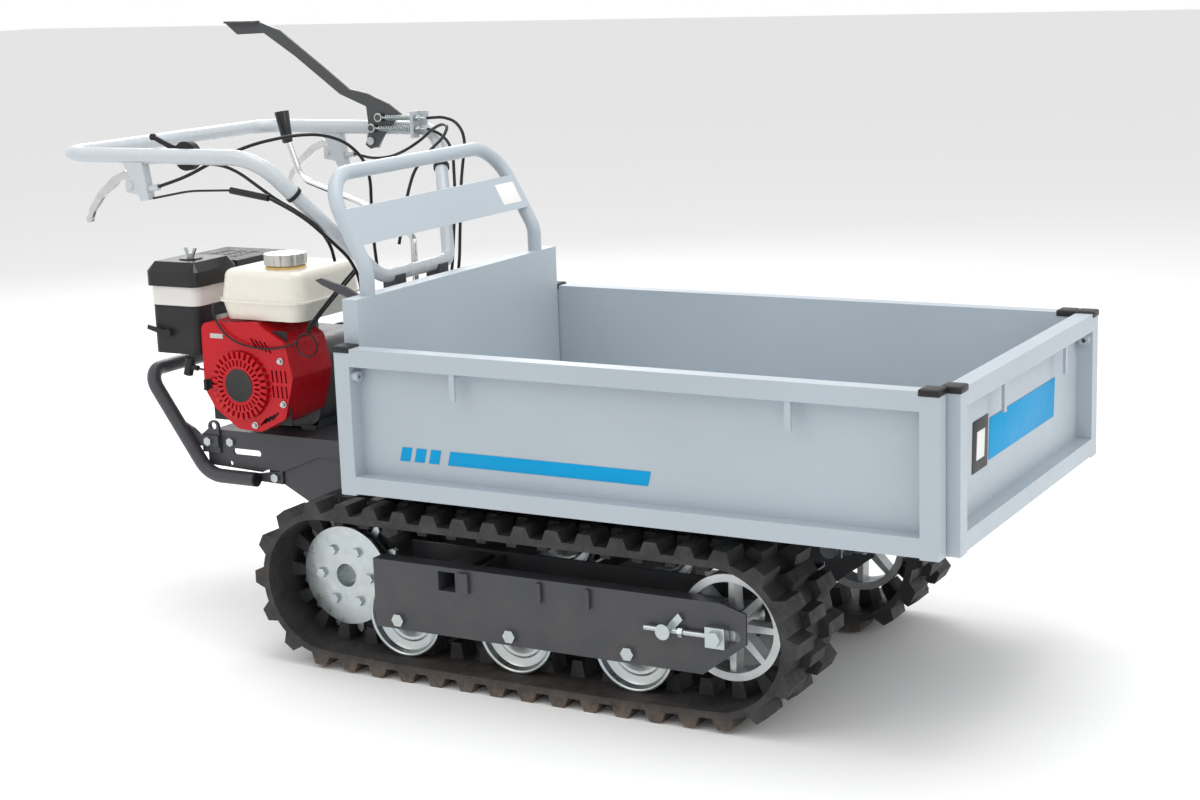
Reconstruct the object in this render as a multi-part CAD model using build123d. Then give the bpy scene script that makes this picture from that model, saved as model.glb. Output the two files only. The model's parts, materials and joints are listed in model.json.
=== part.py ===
from build123d import *
from math import asin, atan2, cos, degrees, hypot, pi, radians, sin, tan
import os

# A tracked power wheelbarrow, in millimetres. +X is forwards, towards the tray's gate, +Y is the
# machine's left and +Z is up. The sizes below place the pieces from the middle of the tray's near
# side panel, and save() moves each piece so that the origin is the bottom middle of the whole box.

# Tray
TRAY_LENGTH = 1070.0
TRAY_WIDTH = 730.0
SIDE_HEIGHT = 250.0
TRAY_BOTTOM = 328.0
FRAME_TUBE = 30.0
FRAME_WALL = 2.0
SHEET = 2.0
CAP_THICK = 3.0
CAP_PLUG = 12.0
CORNER_GAP = 3.0
GATE_INSET = 9.0
FLOOR_TOP = 398.0
FLOOR_SHEET = 3.0
HEADBOARD_TOP = 656.0
HEADBOARD_DEPTH = 30.0
SIDE_TRAVEL = 200.0
GATE_TRAVEL = 250.0
SLIDE_BAR = 24.0
SLIDE_CLEAR = 0.5
SLIDE_WALL = 2.0
SLIDE_OVERLAP = 95.0
SIDE_HOOKS = (-302.0, 296.0)
GATE_HOOKS = (-142.0, 172.0)
FAR_SIDE_SHORTER = 12.0
SIDE_BAR_SPACING = 760.0
SIDE_BAR_OFFSET = 60.0
GATE_BAR_SPACING = 300.0

# Backrest loop on the headboard
LOOP_TUBE = 26.0
LOOP_WALL = 2.0
LOOP_HALF_WIDTH = 278.0
LOOP_TOP_Z = 855.0
LOOP_TOP_X = -603.0
LOOP_KNEE_Z = 700.0
LOOP_BEND = 75.0

# Rubber tracks
TRACK_PITCH = 60.0
TRACK_LINKS = 38
TRACK_WIDTH = 180.0
TRACK_GAUGE = 534.0
BAND = 12.0
LUG_HEIGHT = 18.0
GUIDE_HEIGHT = 29.0
GUIDE_WIDTH = 44.0
CENTRE_STRIP = 60.0
SPROCKET_TEETH = 13
SPROCKET_X = -593.0
AXLE_Z = 153.0
ROLLER_R = 72.0
ROLLER_SPACING = 224.0
ROLLER_REAR_X = -454.0
ROLLERS = 3
WHEEL_GAP = 0.3
ROLLER_RIM = 24.0
ROLLER_SPLIT = 52.0
ROLLER_AXLE_R = 8.0
RUNNING_FIT = 0.05

# Track frames and chassis
PLATE = 5.0
PLATE_OUTER_Y = 330.0
PLATE_INNER_Y = 204.0
PLATE_REAR_X = -504.0
PLATE_FRONT_X = 204.0
PLATE_LOW = 84.0
PLATE_HIGH = 206.0
CROSS_TUBE = 40.0
CROSS_TUBE_X = (-354.0, -118.0)
CROSS_TUBE_Z = 181.0
RAIL = 50.0
RAIL_Y = 90.0
RAIL_LOW = CROSS_TUBE_Z + CROSS_TUBE / 2
RAIL_REAR_X = -660.0
RAIL_FRONT_X = 225.0
HINGE_X = 258.0
HINGE_Z = 250.0
HINGE_BARREL_R = 17.0
HINGE_PIN_R = 10.0
BUFFER_HEIGHT = 9.0

# Engine and its frame
DECK_TOP = 351.0
DECK_THICK = 6.0
DECK_HALF_WIDTH = 130.0
CRANK_X = -878.0
CRANK_Z = 457.0
FAN_FACE_Y = -190.0
FAN_DEPTH = 120.0
BELT_Y = 146.0
CRANK_PULLEY_R = 38.0
BOX_PULLEY_R = 52.0
BOX_SHAFT_X = -685.0
BOX_SHAFT_Z = 165.0

# Handlebar
BAR_UPPER_D = 28.0
BAR_LOWER_D = 24.9
BAR_WALL = 1.5
BAR_Z = 886.0
BAR_REAR_X = -1171.0
BAR_HALF_WIDTH = 300.0

# The box round the whole machine
LEVER_TIP_X = -1234.0
FRONT_X = TRAY_LENGTH / 2 - GATE_INSET + FRAME_TUBE


def save(name, *solids):
    """Writes one node, moved to the frame whose origin is the bottom middle of the box."""
    parts = Compound(children=[s for shape in solids for s in shape.solids()])
    export_step(Pos(-(FRONT_X + LEVER_TIP_X) / 2, 0, 0) * parts, f"parts/{name}.step")


def block(x, y, z):
    """A box between three pairs of limits."""
    low, high = zip(x, y, z)
    size = [b - a for a, b in zip(low, high)]
    middle = [(a + b) / 2 for a, b in zip(low, high)]
    return Pos(*middle) * Box(*size)


def outline(*points):
    return make_face(Polyline(*points, close=True))


def disc(x, z, r):
    return Pos(x, z) * Circle(r)


def across(sketch, y):
    """A sketch drawn in X and Z, extruded between two values of Y."""
    return Pos(0, y[1], 0) * extrude(Plane.XZ * sketch, amount=y[1] - y[0])


def along(sketch, x):
    """A sketch drawn in Y and Z, extruded between two values of X."""
    return Pos(x[0], 0, 0) * extrude(Plane.YZ * sketch, amount=x[1] - x[0])


def upright(sketch, z):
    """A sketch drawn in X and Y, extruded between two values of Z."""
    return Pos(0, 0, z[0]) * extrude(Plane.XY * sketch, amount=z[1] - z[0])


def both(shape):
    """A piece and its mirror image on the other side of the machine."""
    return [shape, mirror(shape, about=Plane.XZ)]


def rod(start, end, r):
    """A round bar between two points."""
    path = Line(start, end)
    return extrude(Plane(origin=start, z_dir=path % 0) * Circle(r), amount=path.length)


def bent_rod(points, bend, r):
    """A round bar bent to a radius at each corner."""
    path = FilletPolyline(*points, radius=bend)
    return sweep(Plane(origin=path @ 0, z_dir=path % 0) * Circle(r), path=path)


def bent_tube(points, bend, d, wall):
    return bent_rod(points, bend, d / 2) - bent_rod(points, bend, d / 2 - wall)


def belt_runs(wheels):
    """Each straight run of a belt round wheels (x, z, r), taken anticlockwise."""
    runs = []
    for (xa, za, ra), (xb, zb, rb) in zip(wheels, wheels[1:] + wheels[:1]):
        out = atan2(zb - za, xb - xa) - pi / 2 + asin((ra - rb) / hypot(xb - xa, zb - za))
        start = (xa + ra * cos(out), za + ra * sin(out))
        end = (xb + rb * cos(out), zb + rb * sin(out))
        runs.append((start, end, out))
    return runs


def belt_face(wheels, offset):
    """The area inside a belt's line, grown outwards by an offset."""
    grown = [(x, z, r + offset) for x, z, r in wheels]
    runs = belt_runs(grown)
    edges = []
    for (start, end, out), (x, z, r), after in zip(runs, grown[1:] + grown[:1], runs[1:] + runs[:1]):
        edges.append(Line(start, end))
        edges.append(CenterArc((x, z), r, degrees(out), degrees((after[2] - out) % (2 * pi))))
    return make_face(edges)


def belt_stations(wheels, count, first_wheel, first_angle):
    """Evenly spaced places (x, z, outward angle) on a belt's line, one of them at an angle on a wheel."""
    runs = belt_runs(wheels)
    spans = []
    total = 0.0
    begin = 0.0
    for (start, end, out), (x, z, r), after in zip(runs, wheels[1:] + wheels[:1], runs[1:] + runs[:1]):
        length = hypot(end[0] - start[0], end[1] - start[1])
        spans.append((total, length, start, end, out, None))
        total += length
        turn = (after[2] - out) % (2 * pi)
        if (x, z, r) == first_wheel:
            begin = total + r * ((first_angle - out) % (2 * pi))
        spans.append((total, r * turn, (x, z), None, out, r))
        total += r * turn
    stations = []
    for k in range(count):
        s = (begin + k * total / count) % total
        low, length, start, end, out, r = [span for span in spans if span[0] <= s][-1]
        if r is None:
            share = (s - low) / length
            place = [a + (b - a) * share for a, b in zip(start, end)]
            stations.append((place[0], place[1], out))
        else:
            angle = out + (s - low) / r
            stations.append((start[0] + r * cos(angle), start[1] + r * sin(angle), angle))
    return stations


def lug(base, tip, low, high):
    """The side view of a rubber lug that stands up from a belt's line."""
    return outline((-base / 2, low), (base / 2, low), (tip / 2, high), (-tip / 2, high))


def on_belt(stations, sketch):
    return [Pos(x, z) * Rot(0, 0, degrees(a) - 90) * sketch for x, z, a in stations]


# ---------------------------------------------------------------- tracks and wheels

PITCH_R = SPROCKET_TEETH * TRACK_PITCH / (2 * pi)
WHEELBASE = (TRACK_LINKS * TRACK_PITCH - 2 * pi * PITCH_R) / 2
IDLER_X = SPROCKET_X + WHEELBASE
BAND_INNER_R = PITCH_R - BAND / 2
GUIDE_TIP_R = BAND_INNER_R - GUIDE_HEIGHT
WHEEL_R = GUIDE_TIP_R - WHEEL_GAP
ROLLER_Z = LUG_HEIGHT + BAND + ROLLER_R
GAUGE_Y = TRACK_GAUGE / 2
ROLLER_X = [ROLLER_REAR_X + i * ROLLER_SPACING for i in range(ROLLERS)]
TRACK_WHEELS = [
    (ROLLER_X[0], ROLLER_Z, ROLLER_R + BAND / 2),
    (ROLLER_X[-1], ROLLER_Z, ROLLER_R + BAND / 2),
    (IDLER_X, AXLE_Z, PITCH_R),
    (SPROCKET_X, AXLE_Z, PITCH_R),
]


def track():
    """A rubber track on the near side: a band with tread lugs outside and guide lugs inside."""
    half = BAND / 2
    band = belt_face(TRACK_WHEELS, half) - belt_face(TRACK_WHEELS, -half)
    edge_lug = lug(38, 22, half - 1, half + LUG_HEIGHT)
    middle_lug = lug(34, 20, half - 1, half + LUG_HEIGHT - 2)
    guide = lug(28, 18, 1 - half, -half - GUIDE_HEIGHT)
    last = TRACK_WHEELS[-1]
    on_pitch = belt_stations(TRACK_WHEELS, TRACK_LINKS, last, pi)
    between = belt_stations(TRACK_WHEELS, TRACK_LINKS, last, pi + pi / SPROCKET_TEETH)
    low, high = -GAUGE_Y - TRACK_WIDTH / 2, -GAUGE_Y + TRACK_WIDTH / 2
    strip = CENTRE_STRIP / 2
    edges = band + on_belt(on_pitch, edge_lug)
    middle = band + on_belt(between, middle_lug)
    rubber = across(edges, (low, -GAUGE_Y - strip)) + across(edges, (-GAUGE_Y + strip, high))
    rubber += across(middle, (-GAUGE_Y - strip, -GAUGE_Y + strip))
    guides = [across(g, (-GAUGE_Y - GUIDE_WIDTH / 2, -GAUGE_Y + GUIDE_WIDTH / 2))
              for g in on_belt(on_pitch, guide)]
    return rubber + guides


def sprocket():
    """A drive sprocket between two guide discs, on its half shaft, with six flange bolts."""
    tooth = outline((40, -12), (104, -6), (109, 0), (104, 6), (40, 12))
    teeth = disc(0, 0, 84) + [Rot(0, 0, degrees(pi + (k + 0.5) * 2 * pi / SPROCKET_TEETH)) * tooth
                              for k in range(SPROCKET_TEETH)]
    flange = disc(0, 0, WHEEL_R)
    wheel = across(teeth, (-5, 5)) + across(flange, (-22, -16)) + across(flange, (16, 22))
    wheel += across(disc(0, 0, 52), (-16, 16))
    wheel += across(disc(0, 0, 30), (22, 62)) + across(disc(0, 0, SHAFT_R), (62, 150))
    wheel -= across(disc(0, 0, 21), (-22, 10))
    heads = [across(Pos(51 * cos(k * pi / 3), 51 * sin(k * pi / 3)) * RegularPolygon(9, 6), (-29, -22))
             for k in range(6)]
    place = Pos(SPROCKET_X, -GAUGE_Y, AXLE_Z)
    return [place * wheel] + [place * head for head in heads]


def idler():
    """A spoked idler wheel whose rim runs on the track's guide lugs."""
    rim = disc(0, 0, WHEEL_R) - disc(0, 0, WHEEL_R - 13)
    wheel = across(rim, (-22, 22)) + across(disc(0, 0, 25), (-56, 56))
    spokes = 8
    spoke = outline((20, -7), (WHEEL_R - 10, -5), (WHEEL_R - 10, 5), (20, 7))
    wheel += [across(Rot(0, 0, 360 / spokes * k) * spoke, (-14, 14)) for k in range(spokes)]
    wheel -= across(disc(0, 0, IDLER_AXLE_R + RUNNING_FIT), (-60, 60))
    return Pos(IDLER_X, -GAUGE_Y, AXLE_Z) * wheel


def roller(x):
    """A track roller: two dished discs on one hub, either side of the guide lugs."""
    rim_out = ROLLER_R - WHEEL_GAP
    first, last = ROLLER_SPLIT / 2, ROLLER_SPLIT / 2 + ROLLER_RIM
    rim = disc(0, 0, rim_out) - disc(0, 0, rim_out - 5)
    web = disc(0, 0, rim_out - 4)
    dish = across(rim, (first, last)) + across(web, (first + 4, first + 8))
    shape = dish + mirror(dish, about=Plane.XZ) + across(disc(0, 0, ROLLER_HUB_R), (-ROLLER_HUB, ROLLER_HUB))
    shape -= across(disc(0, 0, ROLLER_AXLE_R + RUNNING_FIT), (-ROLLER_HUB - 1, ROLLER_HUB + 1))
    return Pos(x, -GAUGE_Y, ROLLER_Z) * shape


SHAFT_R = 15.0
ROLLER_HUB_R = 12.0
IDLER_AXLE_R = 10.0
ROLLER_HUB = (PLATE_OUTER_Y - PLATE_INNER_Y - 2 * PLATE) / 2 - 0.5
SLOT_LENGTH = 60.0
SLOT_X = PLATE_FRONT_X - 10 - SLOT_LENGTH / 2


def plate_side():
    """The side view of a track frame plate, with its cut corners and its axle slot."""
    shape = outline(
        (PLATE_REAR_X, PLATE_LOW), (PLATE_FRONT_X - 77, PLATE_LOW), (PLATE_FRONT_X, PLATE_HIGH - 64),
        (PLATE_FRONT_X, PLATE_HIGH - 13), (PLATE_FRONT_X - 46, PLATE_HIGH), (PLATE_REAR_X, PLATE_HIGH))
    slot_height = 2 * (IDLER_AXLE_R + RUNNING_FIT)
    shape -= Pos(SLOT_X, AXLE_Z) * SlotOverall(SLOT_LENGTH, slot_height)
    return shape - [disc(x, ROLLER_Z, ROLLER_AXLE_R) for x in ROLLER_X]


def track_frame():
    """The near track frame: an outer channel plate, an inner plate and their small stiffeners."""
    side = plate_side()
    tube_hole = Pos(CROSS_TUBE_X[0], CROSS_TUBE_Z) * Rectangle(CROSS_TUBE, CROSS_TUBE)
    outer = across(side - tube_hole, (-PLATE_OUTER_Y, -PLATE_OUTER_Y + PLATE))
    inner = across(side - tube_hole, (-PLATE_INNER_Y - PLATE, -PLATE_INNER_Y))
    top = block((PLATE_REAR_X, PLATE_FRONT_X - 46), (-PLATE_OUTER_Y + PLATE, -PLATE_OUTER_Y + 32),
                (PLATE_HIGH - PLATE, PLATE_HIGH))
    lip = block((PLATE_REAR_X, PLATE_FRONT_X - 77), (-PLATE_OUTER_Y + PLATE, -PLATE_OUTER_Y + 11),
                (PLATE_LOW, PLATE_LOW + PLATE))
    shape = outer + top + lip
    for x in (-170.0, -78.0):
        shape += block((x - 4, x + 4), (-PLATE_OUTER_Y - 7, -PLATE_OUTER_Y), (PLATE_HIGH - 38, PLATE_HIGH - 5))
    shape += block((-327, -308), (-PLATE_OUTER_Y - 7, -PLATE_OUTER_Y), (PLATE_HIGH - 40, PLATE_HIGH - 5))
    tie = block((-316, -308), (-PLATE_OUTER_Y + PLATE, -PLATE_INNER_Y - PLATE), (PLATE_HIGH - 25, PLATE_HIGH - 5))
    return [shape + tie + inner]


def tensioner():
    """The near idler's axle, its sliding block and the threaded rod that pushes it forwards."""
    face = -PLATE_OUTER_Y
    axle = across(disc(IDLER_X, AXLE_Z, IDLER_AXLE_R), (face - 17, -PLATE_INNER_Y + 8))
    axle += across(Pos(IDLER_X, AXLE_Z) * RegularPolygon(13, 6), (face - 25, face - 17))
    axle += across(Pos(IDLER_X, AXLE_Z) * RegularPolygon(13, 6), (-PLATE_INNER_Y, -PLATE_INNER_Y + 9))
    slider = block((IDLER_X - 17, IDLER_X + 17), (face - 17, face - 0.5), (AXLE_Z - 17, AXLE_Z + 17))
    slider -= across(disc(IDLER_X, AXLE_Z, IDLER_AXLE_R), (face - 18, face))
    stud_x = IDLER_X - 90
    screw = rod((stud_x - 38, face - 9, AXLE_Z), (IDLER_X - 17, face - 9, AXLE_Z), 5)
    stud = across(disc(stud_x, AXLE_Z, 13), (face - 22, face))
    stud += across(outline((stud_x, AXLE_Z + 6), (stud_x + 8, AXLE_Z - 4), (stud_x + 30, AXLE_Z + 20),
                           (stud_x + 22, AXLE_Z + 30)), (face - 8, face))
    stud -= rod((stud_x - 40, face - 9, AXLE_Z), (stud_x + 40, face - 9, AXLE_Z), 5)
    nut = along(Pos(face - 9, AXLE_Z) * (RegularPolygon(9, 6) - Circle(5)), (stud_x + 24, stud_x + 32))
    return [axle, slider, screw, stud, nut]


def roller_bolts():
    """The near rollers' axle bolts, with a head outside and a nut inside."""
    solids = []
    for x in ROLLER_X:
        hexagon = Pos(x, ROLLER_Z) * RegularPolygon(12, 6)
        bolt = across(disc(x, ROLLER_Z, ROLLER_AXLE_R), (-PLATE_OUTER_Y, -PLATE_INNER_Y))
        bolt += across(hexagon, (-PLATE_OUTER_Y - 9, -PLATE_OUTER_Y))
        bolt += across(hexagon, (-PLATE_INNER_Y, -PLATE_INNER_Y + 10))
        solids.append(bolt)
    return solids


# ---------------------------------------------------------------- chassis

def chassis():
    """The middle frame: two rails, cross tubes to the track frames, hinge ears and posts."""
    low, high = RAIL_Y - RAIL / 2, RAIL_Y + RAIL / 2
    rail_z = (RAIL_LOW, RAIL_LOW + RAIL)
    rail = block((RAIL_REAR_X, RAIL_FRONT_X), (low, high), rail_z)
    rail -= block((RAIL_REAR_X, RAIL_FRONT_X), (low + 3, high - 3), (RAIL_LOW + 3, RAIL_LOW + RAIL - 3))
    ears = [across(outline((RAIL_FRONT_X - 30, RAIL_LOW + 12), (HINGE_X, HINGE_Z - 20), (HINGE_X + 20, HINGE_Z - 14),
                           (HINGE_X + 20, HINGE_Z + 17), (RAIL_FRONT_X - 30, RAIL_LOW + RAIL))
                   - disc(HINGE_X, HINGE_Z, HINGE_PIN_R), span)
            for span in ((low - 6, low), (high, high + 6))]
    shape = Part() + both(rail + ears)
    tube = Rectangle(CROSS_TUBE, CROSS_TUBE) - Rectangle(CROSS_TUBE - 6, CROSS_TUBE - 6)
    reach = (PLATE_OUTER_Y, PLATE_INNER_Y)
    for x, half in zip(CROSS_TUBE_X, reach):
        shape += across(Pos(x, CROSS_TUBE_Z) * tube, (-half, half))
    rear = block((RAIL_REAR_X - RAIL, RAIL_REAR_X), (-LINK_Y, LINK_Y), rail_z)
    shape += rear - block((RAIL_REAR_X - RAIL + 3, RAIL_REAR_X - 3), (-LINK_Y, LINK_Y),
                          (RAIL_LOW + 3, RAIL_LOW + RAIL - 3))
    shape += block((-50, 0), (-low, low), rail_z) - block((-47, -3), (-low, low), (RAIL_LOW + 3, RAIL_LOW + RAIL - 3))
    link = outline((-880, DECK_UNDER), (-880, 272), (-850, 257), (-740, RAIL_LOW), (-630, RAIL_LOW),
                   (-630, RAIL_LOW + RAIL), (-700, DECK_UNDER))
    shape += both(across(link - disc(*LOW_BOLT, FRAME_BOLT_R), (LINK_Y, LINK_Y + PLATE)))
    hanger = block((SPROCKET_X - 60, SPROCKET_X + 60), (-low, low), (GEARBOX_TOP, GEARBOX_TOP + 8))
    shape += hanger - upright(Pos(SHIFT_X, SHIFT_Y) * Circle(18), (GEARBOX_TOP, GEARBOX_TOP + 8))
    post = block((BAR_FOOT_X - 15, BAR_FOOT_X + 15), (55, 85), (RAIL_LOW + RAIL, BAR_FOOT_Z))
    post -= rod((BAR_FOOT_X, 50, BAR_FOOT_Z), (BAR_FOOT_X, 90, BAR_FOOT_Z), BAR_LOWER_D / 2)
    shape += both(post)
    shape += rod((CATCH_X, -55, CATCH_Z), (CATCH_X, 55, CATCH_Z), 6)
    return shape


LINK_Y = 119.0
DECK_UNDER = DECK_TOP - DECK_THICK
GEARBOX_TOP = RAIL_LOW
BAR_FOOT_X = -608.0
BAR_FOOT_Z = 657.0
CATCH_X = -600.0
CATCH_Z = 545.0


def gearbox():
    """The gearbox under the rear of the chassis, with an axle housing to each side."""
    half = RAIL_Y - RAIL / 2 - 3
    case = block((BOX_SHAFT_X - 28, SPROCKET_X + 68), (-half, half), (AXLE_Z - 58, GEARBOX_TOP))
    case = fillet(case.edges().filter_by(Axis.Y), 18)
    housing = disc(SPROCKET_X, AXLE_Z, AXLE_TUBE_R)
    case += across(housing, (-165, 165))
    case += across(disc(SPROCKET_X, AXLE_Z, 42), (half, half + 12))
    case += across(disc(SPROCKET_X, AXLE_Z, 42), (-half - 12, -half))
    case += across(disc(BOX_SHAFT_X, BOX_SHAFT_Z, 24), (half, half + 40))
    case -= across(disc(BOX_SHAFT_X, BOX_SHAFT_Z, 10 + RUNNING_FIT), (0, half + 41))
    case -= across(disc(SPROCKET_X, AXLE_Z, SHAFT_R + RUNNING_FIT), (-166, -100))
    case -= across(disc(SPROCKET_X, AXLE_Z, SHAFT_R + RUNNING_FIT), (100, 166))
    selector = upright(Pos(SHIFT_X, SHIFT_Y) * Circle(16), (GEARBOX_TOP, GEARBOX_TOP + 40))
    case += selector - upright(Pos(SHIFT_X, SHIFT_Y) * Circle(SHIFT_R + RUNNING_FIT), (GEARBOX_TOP + 8, GEARBOX_TOP + 41))
    return case


SHIFT_X = -636.0
SHIFT_Y = 38.0
SHIFT_R = 6.0


def buffers():
    """Rubber blocks on the rails, which the tray's subframe rests on."""
    top = RAIL_LOW + RAIL
    return [piece for x in (-430.0, 150.0)
            for piece in both(upright(Pos(x, RAIL_Y) * Circle(18), (top, top + BUFFER_HEIGHT - 0.3)))]


def hinge_pins():
    low, high = RAIL_Y - RAIL / 2 - 12, RAIL_Y + RAIL / 2 + 9
    pin = across(disc(HINGE_X, HINGE_Z, HINGE_PIN_R), (low + 3, high))
    pin += across(disc(HINGE_X, HINGE_Z, 15), (high - 3, high + 3))
    return both(pin)


# ---------------------------------------------------------------- tray

SUB_LOW = RAIL_LOW + RAIL + BUFFER_HEIGHT
RECEIVER = SLIDE_BAR + 2 * (SLIDE_CLEAR + SLIDE_WALL)
GATE_BAR_Z = FLOOR_TOP - FLOOR_SHEET - RECEIVER / 2
SIDE_BAR_Z = GATE_BAR_Z - RECEIVER
SUB_HIGH = SIDE_BAR_Z - RECEIVER / 2
INNER_Y = TRAY_WIDTH / 2 - FRAME_TUBE
GATE_INNER_X = TRAY_LENGTH / 2 - GATE_INSET
TRAY_REAR_X = -TRAY_LENGTH / 2


def square_ring(size, wall):
    return Rectangle(size, size) - Rectangle(size - 2 * wall, size - 2 * wall)


def side_bar_places(offset):
    return [side * SIDE_BAR_SPACING / 2 + offset for side in (-1, 1)]


def subframe():
    """The tray's subframe: two rails, hinge barrels and the receivers for the slide bars."""
    rail_y = (RAIL_Y - 20, RAIL_Y + 20)
    rail = block((-480, HINGE_X - 25), rail_y, (SUB_LOW, SUB_HIGH))
    rail -= block((-477, HINGE_X - 28), (rail_y[0] + 3, rail_y[1] - 3), (SUB_LOW + 3, SUB_HIGH - 3))
    lug_side = outline((RAIL_FRONT_X + 3, SUB_LOW), (HINGE_X - 12, HINGE_Z - 12), (HINGE_X + 12, HINGE_Z - 12),
                       (HINGE_X + 30, SUB_HIGH), (HINGE_X - 60, SUB_HIGH), (HINGE_X - 60, SUB_LOW)) + disc(HINGE_X, HINGE_Z, HINGE_BARREL_R)
    tongue = across(lug_side, (RAIL_Y - 18, RAIL_Y + 18))
    side = rail + tongue - across(disc(HINGE_X, HINGE_Z, HINGE_PIN_R + RUNNING_FIT), (0, 200))
    shape = Part() + both(side)
    ring = square_ring(RECEIVER, SLIDE_WALL)
    for x in side_bar_places(-SIDE_BAR_OFFSET / 2):
        shape += across(Pos(x, SIDE_BAR_Z) * ring, (-INNER_Y + 3, INNER_Y - 20))
    for x in side_bar_places(SIDE_BAR_OFFSET / 2):
        shape += across(Pos(x, SIDE_BAR_Z) * ring, (-INNER_Y + 20, INNER_Y - 3))
    for y in (-GATE_BAR_SPACING / 2, GATE_BAR_SPACING / 2):
        shape += along(Pos(y, GATE_BAR_Z) * ring, (GATE_INNER_X - GATE_TRAVEL - SLIDE_OVERLAP - 30, GATE_INNER_X - 3))
    for x in (TRAY_REAR_X + HEADBOARD_DEPTH + 20, -120.0, 100.0, GATE_INNER_X - 18):
        for y in ((-INNER_Y + 8, -GATE_BAR_SPACING / 2 - RECEIVER / 2), (GATE_BAR_SPACING / 2 + RECEIVER / 2, INNER_Y - 8)):
            shape += block((x - 15, x + 15), y, (GATE_BAR_Z - RECEIVER / 2, FLOOR_TOP - FLOOR_SHEET))
    for y in (-GATE_BAR_SPACING / 2, GATE_BAR_SPACING / 2):
        front = GATE_INNER_X - GATE_TRAVEL - SLIDE_OVERLAP - 30
        shape += block((TRAY_REAR_X + HEADBOARD_DEPTH + 5, front), (y - RECEIVER / 2, y + RECEIVER / 2),
                       (GATE_BAR_Z - RECEIVER / 2, FLOOR_TOP - FLOOR_SHEET))
    return shape


def floor_sheet():
    return block((TRAY_REAR_X + HEADBOARD_DEPTH, GATE_INNER_X - 3), (-INNER_Y + 3, INNER_Y - 3),
                 (FLOOR_TOP - FLOOR_SHEET, FLOOR_TOP))


def headboard():
    """The rear wall: one sheet with its edges folded back."""
    x = (TRAY_REAR_X, TRAY_REAR_X + HEADBOARD_DEPTH)
    y = (-INNER_Y + 3, INNER_Y - 3)
    z = (SUB_HIGH + 1, HEADBOARD_TOP)
    shape = block(x, y, z) - block((x[0], x[1] - SHEET), (y[0] + SHEET, y[1] - SHEET), (z[0] + SHEET, z[1] - SHEET))
    lap = block((x[0], x[0] + SHEET), (y[0] + SHEET, y[1] - SHEET), (z[1] - 20, z[1] - SHEET))
    brackets = [across(outline((x[0], LATCH_Z - 16), (x[0], LATCH_Z + 12), (LATCH_X, LATCH_Z + 11),
                               (LATCH_X - 10, LATCH_Z), (LATCH_X, LATCH_Z - 11))
                       - disc(LATCH_X, LATCH_Z, LATCH_R + RUNNING_FIT), (y0, y0 + 5)) for y0 in (-205.0, -105.0)]
    backing = block((x[0], x[0] + SHEET), (-215, -90), (LATCH_Z - 20, z[1] - 20))
    return shape + lap + backing + brackets


LATCH_X = TRAY_REAR_X - 25
LATCH_Z = 634.0
LATCH_R = 6.0
LATCH_Y = -40.0
LATCH_THROW = 15.0


def latch():
    """The tray latch, stored released: a turning bar with a hand lever at one end and a hook at the other."""
    bar = rod((LATCH_X, -238, LATCH_Z), (LATCH_X, LATCH_Y + 4, LATCH_Z), LATCH_R)
    arm_front = CATCH_X - LATCH_X + 10
    drop = CATCH_Z - LATCH_Z
    hook = outline((-9, 8), (arm_front, drop + 14), (arm_front, drop - 9), (arm_front - 22, drop - 9),
                   (arm_front - 22, drop - 18), (arm_front + 16, drop - 18), (arm_front + 16, drop + 14), (9, 0), (7, 8))
    hook = Rot(0, -LATCH_THROW, 0) * across(hook, (LATCH_Y - 4, LATCH_Y + 4))
    collar = across(disc(0, 0, 12), (LATCH_Y - 8, LATCH_Y + 4))
    hand = outline((8, -8), (8, 8), (-30, 26), (-82, 40), (-96, 36), (-80, 27), (-28, 8), (-8, -8))
    lever = across(hand, (-244, -238)) + across(disc(0, 0, 12), (-244, -230))
    shape = Pos(LATCH_X, 0, LATCH_Z) * (hook + collar + lever) + bar
    return shape


def backrest():
    """The bent tube loop above the headboard, with the flat plate across it."""
    half = LOOP_HALF_WIDTH
    foot_x = TRAY_REAR_X + HEADBOARD_DEPTH / 2
    knee = (foot_x, LOOP_KNEE_Z)
    points = [(foot_x, -half, HEADBOARD_TOP), (foot_x, -half, knee[1]), (LOOP_TOP_X, -half + 6, LOOP_TOP_Z),
              (LOOP_TOP_X, half - 6, LOOP_TOP_Z), (foot_x, half, knee[1]), (foot_x, half, HEADBOARD_TOP)]
    shape = bent_tube(points, (60, LOOP_BEND, LOOP_BEND, 60), LOOP_TUBE, LOOP_WALL)
    lean = (LOOP_TOP_X - knee[0]) / (LOOP_TOP_Z - knee[1])
    plate_low, plate_high = 740.0, 800.0
    low_x = knee[0] + lean * (plate_low - knee[1]) + LOOP_TUBE / 2 - 3
    high_x = knee[0] + lean * (plate_high - knee[1]) + LOOP_TUBE / 2 - 3
    plate = across(outline((low_x, plate_low), (low_x + 4, plate_low), (high_x + 4, plate_high), (high_x, plate_high)),
                   (-half + 6, half - 6))
    return shape + plate


def panel(length, height, wall=FRAME_WALL):
    """A panel frame, drawn from its middle: four welded tubes, open at the posts' ends, and a sheet."""
    depth = FRAME_TUBE - SHEET
    x, z = length / 2, height / 2
    y = (-FRAME_TUBE / 2, -FRAME_TUBE / 2 + depth)
    inside = (x - FRAME_TUBE, z - FRAME_TUBE)
    shape = block((-x, x), y, (-z, z)) - block((-inside[0], inside[0]), y, (-inside[1], inside[1]))
    hollow = (y[0] + wall, y[1] - wall)
    for side in (-1, 1):
        post = sorted((side * (x - wall), side * (inside[0] + wall)))
        shape -= block(post, hollow, (-z, z))
        rail = sorted((side * (z - wall), side * (inside[1] + wall)))
        shape -= block((-inside[0] - wall - 1, inside[0] + wall + 1), hollow, rail)
    return shape + block((-x, x), (y[1], y[1] + SHEET), (-z, z))


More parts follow.
